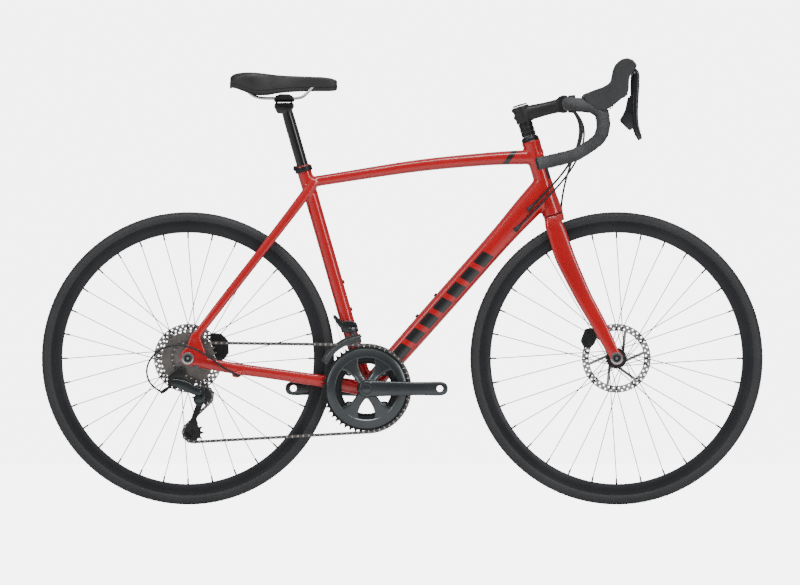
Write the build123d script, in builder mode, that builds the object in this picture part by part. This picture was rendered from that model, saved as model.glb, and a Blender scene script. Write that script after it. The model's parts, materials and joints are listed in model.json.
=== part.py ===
"""Road bicycle: frame, fork, wheels, gears, brakes and controls, each piece its own solid.

Origin on the ground halfway between the axles. +X points forward, +Y to the rider's left, +Z up.
"""
from build123d import *
import os
from math import asin, atan2, cos, degrees, pi, radians, sin, sqrt, tan

# Driving dimensions, in millimetres and degrees
wheelbase = 994
tyre_r = 340
tyre_width = 28
rim_outer_r = 317
rim_inner_r = 291
rim_width = 22
spoke_count = 32
spoke_d = 2.0
rotor_r = 80
front_dropout = 100
rear_dropout = 142
axle_d = 12
bb_x = -83
bb_z = 270
bb_shell_width = 68
spindle_d = 24
crank_length = 170
pedal_bore_r = 7.1
seat_angle = 74
head_angle = 73
steer_x0 = 452
head_bottom_z = 673
head_top_z = 845
seat_tube_length = 535
seatpost_d = 27.2
steerer_d = 28.6
bar_d = 24
bar_clamp_d = 31.8
tape_d = 30
bar_half_width = 205
chain_pitch = 12.7
ring_teeth = 50
inner_ring_teeth = 34
cog_teeth = (11, 12, 14, 16, 18, 20, 22, 25, 28, 32)
cog_spacing = 3.95
chain_y = -47.3
inner_ring_y = -40
pulley_teeth = 11
guide_x = -462
guide_z = 253
tension_x = -485.5
running = 0.05
hose_d = 5.0
housing_d = 4.6

rear_x = -wheelbase / 2
front_x = wheelbase / 2
axle_z = tyre_r
rotor_front_y = 37
rotor_rear_y = 55.5
pivot_x = 537
pivot_z = 1001

os.makedirs("parts", exist_ok=True)


def save(piece, label):
    """Label a finished piece and write its file."""
    piece.label = label
    export_step(piece, "parts/" + label + ".step")


def steer_point(z, y=0):
    """A point at height z in the steering axis' plane."""
    return Vector(steer_x0 - (z - tyre_r) / tan(radians(head_angle)), y, z)


def seat_point(z, y=0):
    """A point at height z on the seat tube's axis."""
    return Vector(bb_x - (z - bb_z) / tan(radians(seat_angle)), y, z)


def side_plane(y):
    """A plane seen from the bicycle's right side, x forward and z up, at y."""
    return Plane(origin=(0, y, 0), x_dir=(1, 0, 0), z_dir=(0, -1, 0))


def pitch_r(teeth):
    """Pitch radius of a sprocket for the half-inch chain."""
    return chain_pitch / (2 * sin(pi / teeth))


def tube(stations):
    """A lofted tube through stations of (point, width across, depth in the frame's plane)."""
    with BuildPart() as piece:
        for i, (point, width, depth) in enumerate(stations):
            before = Vector(*stations[max(i - 1, 0)][0])
            after = Vector(*stations[min(i + 1, len(stations) - 1)][0])
            along = (after - before).normalized()
            up = along.cross(Vector(0, 1, 0)).normalized()
            with BuildSketch(Plane(origin=point, x_dir=up, z_dir=along)):
                Ellipse(depth / 2, width / 2)
        loft()
    return piece.part


def rod(start, end, radius):
    """A round bar from start to end."""
    start = Vector(*start)
    along = Vector(*end) - start
    with BuildPart() as piece:
        with BuildSketch(Plane(origin=start, z_dir=along.normalized())):
            Circle(radius)
        extrude(amount=along.length)
    return piece.part


def disc(x, z, y_from, y_to, radius, hole=0):
    """A disc or ring across the bicycle, centred at x and z."""
    with BuildPart() as piece:
        with BuildSketch(Plane(origin=(x, y_from, z), z_dir=(0, 1 if y_to > y_from else -1, 0))):
            Circle(radius)
            if hole:
                Circle(hole, mode=Mode.SUBTRACT)
        extrude(amount=abs(y_to - y_from))
    return piece.part


def plate(outline, y_from, y_to):
    """A flat piece with an x, z outline, between two distances across the bicycle."""
    with BuildPart() as piece:
        with BuildSketch(side_plane(y_from)):
            with BuildLine():
                Polyline(*outline, close=True)
            make_face()
        extrude(amount=y_from - y_to)
    return piece.part


def ring_of_revolution(x, outline):
    """A ring about a wheel's axle from an outline of (radius, y) points."""
    with BuildPart() as piece:
        with BuildSketch(Plane(origin=(x, 0, axle_z), x_dir=(0, 0, 1), z_dir=(-1, 0, 0))):
            with BuildLine():
                Polyline(*outline, close=True)
            make_face()
        revolve(axis=Axis((x, 0, axle_z), (0, 1, 0)))
    return piece.part


def sprocket(x, z, y, teeth, thickness, bore, phase=0):
    """A toothed disc for the chain, with a tooth gap at the phase angle above +X."""
    r = pitch_r(teeth)
    roller = 4.0
    tip = r + 3.6
    step = 2 * pi / teeth
    points = []
    for k in range(teeth):
        at = radians(phase) + k * step
        for turn in (-80, -40, 0, 40, 80):
            depth = r - roller * cos(radians(turn))
            side = roller * sin(radians(turn))
            points.append((depth * cos(at) - side * sin(at), depth * sin(at) + side * cos(at)))
        for share in (0.44, 0.56):
            points.append((tip * cos(at + share * step), tip * sin(at + share * step)))
    with BuildPart() as piece:
        plane = Plane(origin=(x, y + thickness / 2, z), x_dir=(1, 0, 0), z_dir=(0, -1, 0))
        with BuildSketch(plane):
            with BuildLine():
                Polyline(*points, close=True)
            make_face()
            Circle(bore, mode=Mode.SUBTRACT)
        extrude(amount=thickness)
    return piece.part


def bent_tube(points, radii, section_d):
    """A round tube along straight runs joined by tangent arcs."""
    with BuildPart() as piece:
        with BuildLine():
            path = FilletPolyline(*points, radius=radii)
        with BuildSketch(Plane(origin=path @ 0, z_dir=path % 0)):
            Circle(section_d / 2)
        sweep()
    return piece.part


def cord_radii(points, tightest):
    """The bend radius at each corner of a cord: as large as its two runs allow."""
    radii = []
    for before, at, after in zip(points, points[1:], points[2:]):
        run_in = Vector(*at) - Vector(*before)
        run_out = Vector(*after) - Vector(*at)
        turn = radians(run_in.get_angle(run_out))
        radii.append(0.45 * min(run_in.length, run_out.length) / tan(turn / 2))
    print("radii", [round(r) for r in radii], "tightest allowed", tightest)
    return radii


# ---------------------------------------------------------------- frame
bb = Vector(bb_x, 0, bb_z)
seat_top_z = bb_z + seat_tube_length * sin(radians(seat_angle))
seat_top = seat_point(seat_top_z)
down_top = Vector(334, 0, 738)
down_bottom = Vector(-76, 0, 276)
top_rear = Vector(-218, 0, 748)
top_middle = Vector(30, 0, 786)
top_front = Vector(310, 0, 807)
dropout_y = rear_dropout / 2
frame_wall = 2.2


def chain_stay(side, skin):
    """One chain stay, from the bottom bracket to its dropout."""
    stations = [
        ((bb_x - 12, side * 22, 272), 22, 36),
        ((-150, side * 26.5, 281), 15, 31),
        ((-190, side * 30.5, 288), 17, 28),
        ((-290, side * 48, 303), 18, 26),
        ((-391, side * 66, 317), 17, 25),
        ((-462, side * 74, 332), 12, 24),
    ]
    return tube([(p, w - skin, d - skin) for p, w, d in stations])


def seat_stay(side, skin):
    """One seat stay, from the seat cluster to its dropout."""
    stations = [
        ((-203, side * 10, 751), 16, 22),
        ((-238, side * 21, 703), 15, 20),
        ((-330, side * 45, 583), 14, 17),
        ((-420, side * 66, 467), 14, 16),
        ((-480, side * 74, 389), 12, 17),
    ]
    return tube([(p, w - skin, d - skin) for p, w, d in stations])


# Side views of the dropouts; the right one carries the derailleur's hanger
dropout_side = [(-455, 342), (-462, 320), (-490, 320), (-513, 326), (-517, 348), (-500, 375), (-487, 398)]
dropout_side += [(-473, 392)]
hanger_side = [(-500, 297), (-522, 298), (-524, 318)]

top_stations = [(top_rear, 27, 25), (top_middle, 31, 28), (Vector(180, 0, 801), 34, 30), (top_front, 38, 33)]
down_stations = [(down_bottom, 50, 46), (Vector(40, 0, 406), 46, 50), (Vector(200, 0, 587), 45, 51)]
down_stations += [(down_top, 44, 50)]
head_stations = [(steer_point(head_bottom_z), 49, 49), (steer_point(head_bottom_z + 30), 43, 43)]
head_stations += [(steer_point(head_top_z - 30), 40, 40), (steer_point(head_top_z), 44, 44)]

with BuildPart() as frame:
    hollow = 2 * frame_wall
    add(tube(top_stations))
    add(tube(down_stations))
    for side in (-1, 1):
        add(chain_stay(side, 0))
        add(seat_stay(side, 0))
    add(rod((-150, -24, 281), (-150, 24, 281), 7))
    add(rod((-262, -30, 668), (-262, 30, 668), 7))
    add(tube([(p, w - hollow, d - hollow) for p, w, d in top_stations]), mode=Mode.SUBTRACT)
    add(tube([(p, w - hollow, d - hollow) for p, w, d in down_stations]), mode=Mode.SUBTRACT)
    add(tube([(bb, 34, 34), (seat_point(520), 33, 33), (seat_top, 33, 33)]))
    add(tube(head_stations))
    add(disc(bb_x, bb_z, -bb_shell_width / 2, bb_shell_width / 2, 23))
    add(plate(dropout_side, dropout_y, dropout_y + 8))
    add(plate(dropout_side[:2] + hanger_side + dropout_side[4:], -dropout_y - 8, -dropout_y))
    add(rod(seat_point(bb_z + 30), seat_point(seat_top_z + 5), seatpost_d / 2 + running), mode=Mode.SUBTRACT)
    add(rod(steer_point(head_bottom_z - 5), steer_point(head_top_z + 5), 16), mode=Mode.SUBTRACT)
    for z, reach in ((head_bottom_z, 10), (head_top_z, -10)):
        add(rod(steer_point(z - reach), steer_point(z + reach), 18.5), mode=Mode.SUBTRACT)
    add(disc(bb_x, bb_z, -40, 40, 19), mode=Mode.SUBTRACT)
    for side in (-1, 1):
        bore = disc(rear_x, axle_z, side * (dropout_y - 1), side * (dropout_y + 9), axle_d / 2)
        add(bore, mode=Mode.SUBTRACT)
    add(disc(-512, 309, -dropout_y + 1, -dropout_y - 9, 5), mode=Mode.SUBTRACT)
print("frame solids", len(frame.part.solids()))
save(frame.part, "frame")

with BuildPart() as bearings:
    for z, reach in ((head_bottom_z, 10), (head_top_z, -10)):
        low = min(z, z + reach)
        add(rod(steer_point(low), steer_point(low + 10), 18.5))
        add(rod(steer_point(low - 1), steer_point(low + 11), steerer_d / 2 + running), mode=Mode.SUBTRACT)
    for side in (-1, 1):
        add(disc(bb_x, bb_z, side * 20, side * 34, 19))
        add(disc(bb_x, bb_z, side * 34, side * 38.3, 22))
    add(disc(bb_x, bb_z, -40, 40, spindle_d / 2 + running), mode=Mode.SUBTRACT)
save(bearings.part, "headset_and_crank_bearings")

with BuildPart() as clamp:
    clamp_low = seat_point(seat_top_z - 11)
    add(rod(clamp_low, seat_point(seat_top_z + 1), 20.5))
    ear = plate([(-252, 775), (-252, 787), (-238, 787), (-238, 775)], -9, 9)
    add(ear)
    add(rod(seat_point(seat_top_z - 25), seat_point(seat_top_z), 16.5), mode=Mode.SUBTRACT)
    bore = rod(seat_point(seat_top_z - 1), seat_point(seat_top_z + 20), seatpost_d / 2 + running)
    add(bore, mode=Mode.SUBTRACT)
    add(plate([(-256, 770), (-256, 792), (-240, 792), (-240, 770)], -1, 1), mode=Mode.SUBTRACT)
save(clamp.part, "seat_clamp")

with BuildPart() as bottle_bolts:
    seat_out = Vector(sin(radians(seat_angle)), 0, cos(radians(seat_angle)))
    for z in (513, 450):
        foot = seat_point(z) + seat_out * 15.4
        add(rod(foot, foot + seat_out * 4, 4.5))
    down_along = (down_top - down_bottom).normalized()
    down_out = Vector(-down_along.Z, 0, down_along.X)
    for share in (0.315, 0.42):
        foot = down_bottom + (down_top - down_bottom) * share + down_out * 24.5
        add(rod(foot, foot + down_out * 4, 4.5))
save(bottle_bolts.part, "bottle_cage_bolts")

rear_axle_rod = rod((rear_x, -dropout_y - 8.5, axle_z), (rear_x, dropout_y + 10, axle_z), axle_d / 2 - 0.01)
save(rear_axle_rod, "rear_thru_axle")

# ---------------------------------------------------------------- seat
clamp_x = -274
clamp_z = 939
post_top = seat_point(918)

with BuildPart() as seatpost:
    add(rod(seat_point(seat_top_z - 150), post_top, seatpost_d / 2))
    add(rod(seat_point(seat_top_z - 151), seat_point(905), 11.6), mode=Mode.SUBTRACT)
    add(plate([(-288, 910), (-296, 926), (-294, 934), (-254, 934), (-252, 926), (-259, 910)], -13, 13))
save(seatpost.part, "seatpost")

with BuildPart() as saddle_clamp:
    add(plate([(-296, 934), (-297, 939), (-292, 950), (-285, 955), (-263, 955), (-256, 950), (-251, 939),
               (-252, 934)], -27, 27))
    for side in (-1, 1):
        add(rod((-330, side * 22, 943), (-220, side * 22, 943), 3.6), mode=Mode.SUBTRACT)
save(saddle_clamp.part, "saddle_clamp")

rail_side = [(-392, 984), (-366, 966), (-335, 944), (-318, 943), (-245, 943), (-228, 948), (-200, 978)]

with BuildPart() as rails:
    for side in (-1, 1):
        spread = (30, 25, 22, 22, 22, 20, 10)
        route = [(x, side * y, z) for (x, z), y in zip(rail_side, spread)]
        add(bent_tube(route, [12, 18, 30, 30, 14], 7))
save(rails.part, "saddle_rails")

# Half-widths of the saddle along its length, with the height of its upper surface
saddle_stations = [(-400, 50, 990, 20), (-385, 66, 1001, 34), (-350, 68, 1003, 36), (-310, 52, 999, 33)]
saddle_stations += [(-270, 33, 996, 29)]
saddle_stations += [(-225, 22, 995, 27), (-180, 19, 992, 25), (-158, 15, 989, 20), (-149, 6, 982, 8)]


def saddle_body(shrink, drop):
    """The saddle's outer shape, made smaller by shrink and lowered by drop."""
    with BuildPart() as piece:
        for x, half, top, deep in saddle_stations[: len(saddle_stations) - (1 if shrink else 0)]:
            with BuildSketch(Plane(origin=(x, 0, top - drop - deep / 2), x_dir=(0, 1, 0), z_dir=(1, 0, 0))):
                Ellipse(half - shrink, deep / 2 - shrink * 0.2)
        loft()
    return piece.part


with BuildPart() as cover:
    add(saddle_body(0, 0))
    add(saddle_body(4, 9), mode=Mode.SUBTRACT)
    with BuildSketch(Plane.XY.offset(955)):
        with Locations((-275, 0)):
            Rectangle(300, 200)
    extrude(amount=19, mode=Mode.SUBTRACT)
save(cover.part.solids().sort_by(SortBy.VOLUME)[-1], "saddle_cover")

with BuildPart() as shell:
    add(saddle_body(4.3, 9.3))
    add(saddle_body(7, 13), mode=Mode.SUBTRACT)
save(shell.part.solids().sort_by(SortBy.VOLUME)[-1], "saddle_shell")

# ---------------------------------------------------------------- steering
fork_stations = [(350, 24, 662, 24, 40), (352, 27, 652, 22, 42), (361, 31, 624, 18, 45)]
fork_stations += [(377, 36, 576, 16, 46), (400, 41.5, 525, 15, 42), (423, 46, 478, 13, 38), (459, 51.5, 413, 12, 35)]
fork_stations += [(485, 54, 362, 10, 27)]

with BuildPart() as fork:
    crown_top = steer_point(head_bottom_z - 1.5)
    crown_low = steer_point(head_bottom_z - 19)
    add(tube([(crown_low, 62, 44), (steer_point(head_bottom_z - 10), 62, 46), (crown_top, 48, 47)]))
    add(rod(crown_low, steer_point(918), steerer_d / 2))
    for side in (-1, 1):
        add(tube([((x, side * y, z), width, depth) for x, y, z, width, depth in fork_stations]))
        add(disc(front_x, axle_z, side * front_dropout / 2, side * (front_dropout / 2 + 8), 15))
        add(plate([(473, 375), (484, 344), (505, 350), (499, 376)], side * 50, side * 58))
        add(disc(front_x, axle_z, side * 49, side * 60, axle_d / 2), mode=Mode.SUBTRACT)
    add(disc(front_x, axle_z, -19, 19, tyre_r + 6), mode=Mode.SUBTRACT)
    add(rod(steer_point(head_bottom_z), steer_point(925), 11.5), mode=Mode.SUBTRACT)
save(fork.part, "fork")

save(rod((front_x, -58.5, axle_z), (front_x, 61, axle_z), axle_d / 2 - 0.01), "front_thru_axle")


def steerer_collar(z_low, z_high, radius, inner=steerer_d / 2):
    """A ring about the steerer."""
    with BuildPart() as piece:
        add(rod(steer_point(z_low), steer_point(z_high), radius))
        add(rod(steer_point(z_low - 1), steer_point(z_high + 1), inner), mode=Mode.SUBTRACT)
    return piece.part


with BuildPart() as spacers:
    add(tube([(steer_point(head_top_z + 1), 42, 42), (steer_point(head_top_z + 11), 36, 36)]))
    add(rod(steer_point(head_top_z), steer_point(head_top_z + 12), steerer_d / 2), mode=Mode.SUBTRACT)
    for low, high in ((856.3, 866), (866.3, 876), (876.3, 886)):
        add(steerer_collar(low, high, 16.8))
save(spacers.part, "headset_spacers")

bar_x = 384
bar_z = 930
stem_rear = steer_point(906)

with BuildPart() as stem:
    add(rod(steer_point(886.3), steer_point(925), 19))
    body = tube([(stem_rear + Vector(10, 0, 1), 32, 34), ((325, 0, 918), 30, 31), ((368, 0, 927), 40, 32)])
    add(body)
    add(plate([(366, 908), (362, 946), (382, 950), (384, 950), (384, 910), (380, 908)], -22, 22))
    add(rod(steer_point(880), steer_point(932), steerer_d / 2), mode=Mode.SUBTRACT)
    add(disc(bar_x, bar_z, -30, 30, bar_clamp_d / 2), mode=Mode.SUBTRACT)
    for z in (899, 914):
        foot = steer_point(z) - Vector(17, 0, 0)
        add(rod(foot + Vector(0, -15, 0), foot + Vector(0, 15, 0), 5))
    add(rod(steer_point(880), steer_point(932), steerer_d / 2), mode=Mode.SUBTRACT)
save(stem.part, "stem")

with BuildPart() as top_cap:
    add(steerer_collar(925.2, 929, 17, 3.5))
    add(rod(steer_point(905), steer_point(928), 3.4))
save(top_cap.part, "steerer_cap")

with BuildPart() as faceplate:
    cap_side = [(384.5, 909), (384.5, 951), (394, 950), (404, 940), (406, 926), (400, 912), (392, 908)]
    add(plate(cap_side, -22, 22))
    add(disc(bar_x, bar_z, -30, 30, bar_clamp_d / 2), mode=Mode.SUBTRACT)
    for side in (-1, 1):
        for z in (911.5, 948):
            add(rod((382, side * 15, z), (400, side * 15, z), 3.2))
save(faceplate.part, "stem_faceplate")


def bar_route(side, start_y=0):
    """Corner points of one half of the handlebar, from its middle to the drop's end."""
    wide = side * bar_half_width
    route = [(bar_x, side * start_y, bar_z), (bar_x, wide, bar_z), (463, wide, 922), (467, wide, 851)]
    return route + [(400, wide * 1.02, 812), (312, wide * 1.04, 790)]


bar_bends = [44, 30, 44, 75]


def bar_sweep(side, start_y, outer_d, inner_d):
    """A round tube along one half of the handlebar."""
    with BuildPart() as piece:
        with BuildLine():
            path = FilletPolyline(*bar_route(side, start_y), radius=bar_bends)
        with BuildSketch(Plane(origin=path @ 0, z_dir=path % 0)):
            Circle(outer_d / 2)
            Circle(inner_d / 2, mode=Mode.SUBTRACT)
        sweep()
    return piece.part


with BuildPart() as handlebar:
    for side in (-1, 1):
        add(bar_sweep(side, 0, bar_d, bar_d - 4.4))
    add(disc(bar_x, bar_z, -42, 42, bar_clamp_d / 2, bar_d / 2 - 0.5))
save(handlebar.part, "handlebar")

with BuildPart() as bar_tape:
    for side in (-1, 1):
        add(bar_sweep(side, 78, tape_d, bar_d))
save(bar_tape.part, "bar_tape")

hood_side = [(418, 950), (455, 961), (489, 984), (503, 1016), (513, 1033), (526, 1033), (541, 1016)]
hood_side += [(543, 1001), (533, 985), (524, 964), (506, 944), (489, 928), (466, 905), (450, 908)]
lever_side = [(530, 1012), (541, 1010), (548, 985), (546, 958), (543, 905), (544, 872), (553, 850)]
lever_side += [(549, 845), (538, 862), (533, 900), (533, 940), (528, 966), (526, 990)]
paddle_side = [(530, 948), (532, 938), (531, 905), (520, 893), (508, 889), (506, 894), (516, 908), (525, 946)]

for label, side in (("right", -1), ("left", 1)):
    middle = side * bar_half_width
    with BuildPart() as hood:
        add(plate(hood_side, middle + 16, middle - 16))
        fillet(hood.edges().filter_by(GeomType.LINE).filter_by(Axis.Y, reverse=True), 6)
        add(plate([(516, 990), (522, 1014), (550, 1020), (550, 960), (518, 940)], middle + 8, middle - 8),
            mode=Mode.SUBTRACT)
        add(disc(pivot_x, pivot_z, middle - 14, middle + 14, 2.95))
    save(hood.part, "hood_" + label)
    with BuildPart() as lever:
        add(plate(lever_side, middle + 6.5, middle - 6.5))
        add(disc(pivot_x, pivot_z, middle - 7, middle + 7, 3), mode=Mode.SUBTRACT)
        slot = plate([(510, 950), (545, 950), (545, 940), (520, 936)], middle - 2.5, middle + 2.5)
        add(slot, mode=Mode.SUBTRACT)
    save(lever.part, "brake_lever_" + label)
    with BuildPart() as paddle:
        add(plate(paddle_side, middle - side * 2, middle + side * 2))
    save(paddle.part, "shift_paddle_" + label)

# ---------------------------------------------------------------- brakes


def caliper(x, z, disc_y, tilt, outline):
    """A brake calliper astride the rotor, with a pocket for its pads."""
    with BuildPart() as piece:
        add(plate(outline, disc_y + 16, disc_y - 15))
        add(disc(x, z, disc_y - 7.2, disc_y + 7.2, rotor_r + 2.5), mode=Mode.SUBTRACT)
        for y in (disc_y - 15, disc_y + 16):
            way = 1 if y > disc_y else -1
            for foot in tilt:
                add(disc(foot[0], foot[1], y - way, y + way * 1.5, 5))
    return piece.part


front_caliper_side = [(424, 408), (444, 412), (452, 398), (450, 378), (436, 362), (420, 364), (413, 380)]
front_caliper = caliper(front_x, axle_z, rotor_front_y, [(434, 399), (427, 378)], front_caliper_side)
save(front_caliper, "front_brake_caliper")
rear_caliper_side = [(-448, 400), (-418, 398), (-402, 380), (-402, 350), (-414, 335), (-430, 333)]
rear_caliper_side += [(-440, 350), (-444, 372)]
rear_caliper = caliper(rear_x, axle_z, rotor_rear_y, [(-424, 388), (-414, 358)], rear_caliper_side)
save(rear_caliper, "rear_brake_caliper")


def brake_pad(x, y, way, angle):
    """A pad that faces the rotor, at an angle above the backward or forward direction."""
    middle_r = rotor_r - 10
    px = x + middle_r * cos(radians(angle))
    pz = axle_z + middle_r * sin(radians(angle))
    with BuildPart() as piece:
        outwards = (cos(radians(angle)), 0, sin(radians(angle)))
        plane = Plane(origin=(px, y + way * 1.5, pz), x_dir=outwards, z_dir=(0, way, 0))
        with BuildSketch(plane):
            RectangleRounded(15, 24, 4)
        extrude(amount=5.2)
    return piece.part


for name, x, y, angle in (("front", front_x, rotor_front_y, 146), ("rear", rear_x, rotor_rear_y, 24)):
    save(brake_pad(x, y, 1, angle), name + "_pad_left")
    save(brake_pad(x, y, -1, angle), name + "_pad_right")

# ---------------------------------------------------------------- wheels


def tyre(x):
    """A clincher tyre: an open casing hooked inside the rim."""
    middle = tyre_r - tyre_width / 2
    half = tyre_width / 2
    outline = []
    for step in range(25):
        turn = radians(-125 + 250 * step / 24)
        outline.append((middle + half * cos(turn), half * sin(turn)))
    for step in range(25):
        turn = radians(122 - 244 * step / 24)
        outline.append((middle + (half - 2.6) * cos(turn), (half - 2.6) * sin(turn)))
    return ring_of_revolution(x, outline)


def rim(x):
    """A hollow box rim with a hooked tyre bed."""
    half = rim_width / 2
    outer = [(rim_outer_r, half), (rim_outer_r, half - 1.6), (rim_outer_r - 7, half - 2)]
    outer += [(rim_outer_r - 9, half - 5)]
    outer += [(r, -y) for r, y in reversed(outer)]
    outer += [(300, 1.5 - half), (rim_inner_r + 2, -7), (rim_inner_r, -4), (rim_inner_r, 4)]
    outer += [(rim_inner_r + 2, 7)]
    outer += [(300, half - 1.5)]
    cavity = [(305.5, half - 3.5), (305.5, 3.5 - half), (300, 3.2 - half), (294, -6), (294, 6)]
    cavity += [(300, half - 3.2)]
    with BuildPart() as piece:
        add(ring_of_revolution(x, outer))
        add(ring_of_revolution(x, cavity), mode=Mode.SUBTRACT)
    return piece.part


def spokes(x, left_flange, right_flange, flange_r):
    """Crossed spokes with their nipples, from both hub flanges to the rim."""
    per_side = spoke_count // 2
    with BuildPart() as piece:
        for flange, way, offset in ((left_flange, 1, 0), (right_flange, -1, 360 / spoke_count)):
            for k in range(per_side):
                lead = 1 if k % 2 else -1
                hub_at = radians(k * 360 / per_side + offset)
                rim_at = hub_at + lead * radians(3 * 360 / per_side)
                hub_x = x + flange_r * cos(hub_at)
                hub_z = axle_z + flange_r * sin(hub_at)
                start = (hub_x, flange + lead * way * 2.4, hub_z)
                mid_r = rim_inner_r - 12
                near = (x + mid_r * cos(rim_at), way * 3 + lead * way * 1.1, axle_z + mid_r * sin(rim_at))
                end_r = rim_inner_r + 2
                end = (x + end_r * cos(rim_at), way * 2.2 + lead * way * 1.0, axle_z + end_r * sin(rim_at))
                add(rod(start, near, spoke_d / 2))
                add(rod(near, end, spoke_d))
    return piece.part


def rotor(x, y):
    """A brake disc with a drilled braking band on curved arms and a splined centre."""
    with BuildPart() as piece:
        with BuildSketch(Plane(origin=(x, y + 0.9, axle_z), x_dir=(1, 0, 0), z_dir=(0, -1, 0))):
            Circle(rotor_r)
            Circle(rotor_r - 16, mode=Mode.SUBTRACT)
            for row, count in ((rotor_r - 4.5, 36), (rotor_r - 11, 36)):
                with PolarLocations(row, count, start_angle=0 if row > 72 else 5):
                    Circle(2.1, mode=Mode.SUBTRACT)
            Circle(24)
            Circle(17, mode=Mode.SUBTRACT)
            for k in range(6):
                with Locations(Location((0, 0), 60 * k)):
                    with Locations(Location((43, 4), 24)):
                        Rectangle(48, 6.5)
        extrude(amount=1.8)
    return piece.part


for name, x in (("front", front_x), ("rear", rear_x)):
    save(tyre(x), name + "_tyre")
    save(rim(x), name + "_rim")
save(spokes(front_x, 22, -33, 19), "front_spokes")
save(spokes(rear_x, 30, -18, 22), "rear_spokes")
save(rotor(front_x, rotor_front_y), "front_rotor")
save(rotor(rear_x, rotor_rear_y), "rear_rotor")

with BuildPart() as front_hub:
    add(disc(front_x, axle_z, -49.7, 49.7, 10))
    add(disc(front_x, axle_z, -36, 30, 13))
    for y in (22, -33):
        add(disc(front_x, axle_z, y - 1.5, y + 1.5, 23))
    add(disc(front_x, axle_z, 30, rotor_front_y + 3, 16.9))
    add(disc(front_x, axle_z, rotor_front_y + 1, rotor_front_y + 4, 20))
    add(disc(front_x, axle_z, -60, 60, axle_d / 2 + running), mode=Mode.SUBTRACT)
save(front_hub.part, "front_hub")

with BuildPart() as rear_hub:
    add(disc(rear_x, axle_z, -70.7, 70.7, 9))
    add(disc(rear_x, axle_z, -21, 48, 14))
    for y in (30, -18):
        add(disc(rear_x, axle_z, y - 1.5, y + 1.5, 26))
    add(disc(rear_x, axle_z, 46, rotor_rear_y + 3, 16.9))
    add(disc(rear_x, axle_z, rotor_rear_y + 1, rotor_rear_y + 4, 20))
    add(disc(rear_x, axle_z, -80, 80, axle_d / 2 + running), mode=Mode.SUBTRACT)
save(rear_hub.part, "rear_hub")

# ---------------------------------------------------------------- chain line
# The chain runs clockwise, seen from the right: over the ring and the cog, round the pulleys, and back.


def tangent(a, ra, b, rb, side_a, side_b):
    """The straight run from wheel a to wheel b; side +1 keeps a wheel's centre on the chain's left."""
    length = sqrt((b[0] - a[0]) ** 2 + (b[1] - a[1]) ** 2)
    lean = asin((side_b * rb - side_a * ra) / length)
    heading = atan2(b[1] - a[1], b[0] - a[0]) - lean
    left = (-sin(heading), cos(heading))
    start = (a[0] - side_a * ra * left[0], a[1] - side_a * ra * left[1])
    end = (b[0] - side_b * rb * left[0], b[1] - side_b * rb * left[1])
    return start, end


def chain_legs(tension_z):
    """The chain's turns and straight runs in order, each with its length in links."""
    wheels = [((bb_x, bb_z), ring_teeth, 1), ((rear_x, axle_z), cog_in_use, 1)]
    wheels += [((guide_x, guide_z), pulley_teeth, -1), ((tension_x, tension_z), pulley_teeth, 1)]
    runs = []
    for (a, na, sa), (b, nb, sb) in zip(wheels, wheels[1:] + wheels[:1]):
        runs.append(tangent(a, pitch_r(na), b, pitch_r(nb), sa, sb))
    legs = []
    for k, (centre, teeth, side) in enumerate(wheels):
        into = runs[k - 1][1]
        out = runs[k][0]
        start = atan2(into[1] - centre[1], into[0] - centre[0])
        turn = (atan2(out[1] - centre[1], out[0] - centre[0]) - start) * side % (2 * pi) * side
        legs.append(("turn", centre, teeth, start, turn, abs(turn) * teeth / (2 * pi)))
        run = sqrt((runs[k][1][0] - out[0]) ** 2 + (runs[k][1][1] - out[1]) ** 2)
        legs.append(("run", out, runs[k][1], 0, 0, run / chain_pitch))
    return legs


def chain_links(tension_z):
    """The chain's length in links."""
    return sum(leg[5] for leg in chain_legs(tension_z))


cog_in_use = 18
# The lower pulley sits where the chain is a whole, even number of links
tension_z = 174
link_total = 2 * round(chain_links(tension_z) / 2)
for _ in range(30):
    error = chain_links(tension_z) - link_total
    tension_z += error / (chain_links(tension_z - 0.5) - chain_links(tension_z + 0.5))
print("links", link_total, "tension pulley height", round(tension_z, 2))


def chain_pins():
    """Every pin's x, z place, and the first pin's angle on each of the four wheels."""
    pins = []
    phases = []
    ahead = 0.0
    for kind, a, b, start, turn, links in chain_legs(tension_z):
        count = 0
        while ahead < links:
            share = ahead / links
            if kind == "turn":
                at = start + turn * share
                r = pitch_r(b)
                pins.append((a[0] + r * cos(at), a[1] + r * sin(at)))
                if count == 0:
                    phases.append(degrees(at))
            else:
                pins.append((a[0] + (b[0] - a[0]) * share, a[1] + (b[1] - a[1]) * share))
            count += 1
            ahead += 1
        ahead -= links
    return pins[:link_total], phases


pins, phases = chain_pins()
ring_phase, cog_phase, guide_phase, tension_phase = phases


def link_plate(a, b, y, height, thick):
    """One link plate between two pins, at y."""
    middle = ((a[0] + b[0]) / 2, y + thick, (a[1] + b[1]) / 2)
    along = (b[0] - a[0], 0, b[1] - a[1])
    with BuildPart() as piece:
        with BuildSketch(Plane(origin=middle, x_dir=along, z_dir=(0, -1, 0))):
            SlotCenterToCenter(chain_pitch, height)
        extrude(amount=thick)
    return piece.part


with BuildPart() as link:
    for y in (-2.9, 1.9):
        add(link_plate((0, 0), (chain_pitch, 0), y, 8, 1.0))
    add(disc(0, 0, -2.4, 2.4, 1.9))
link_pieces = []
for a, b in zip(pins, pins[1:] + pins[:1]):
    spin = degrees(atan2(b[1] - a[1], b[0] - a[0]))
    link_pieces.append(link.part.rotate(Axis.Y, -spin).translate((a[0], chain_y, a[1])))
save(Compound(children=link_pieces), "chain")

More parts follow.
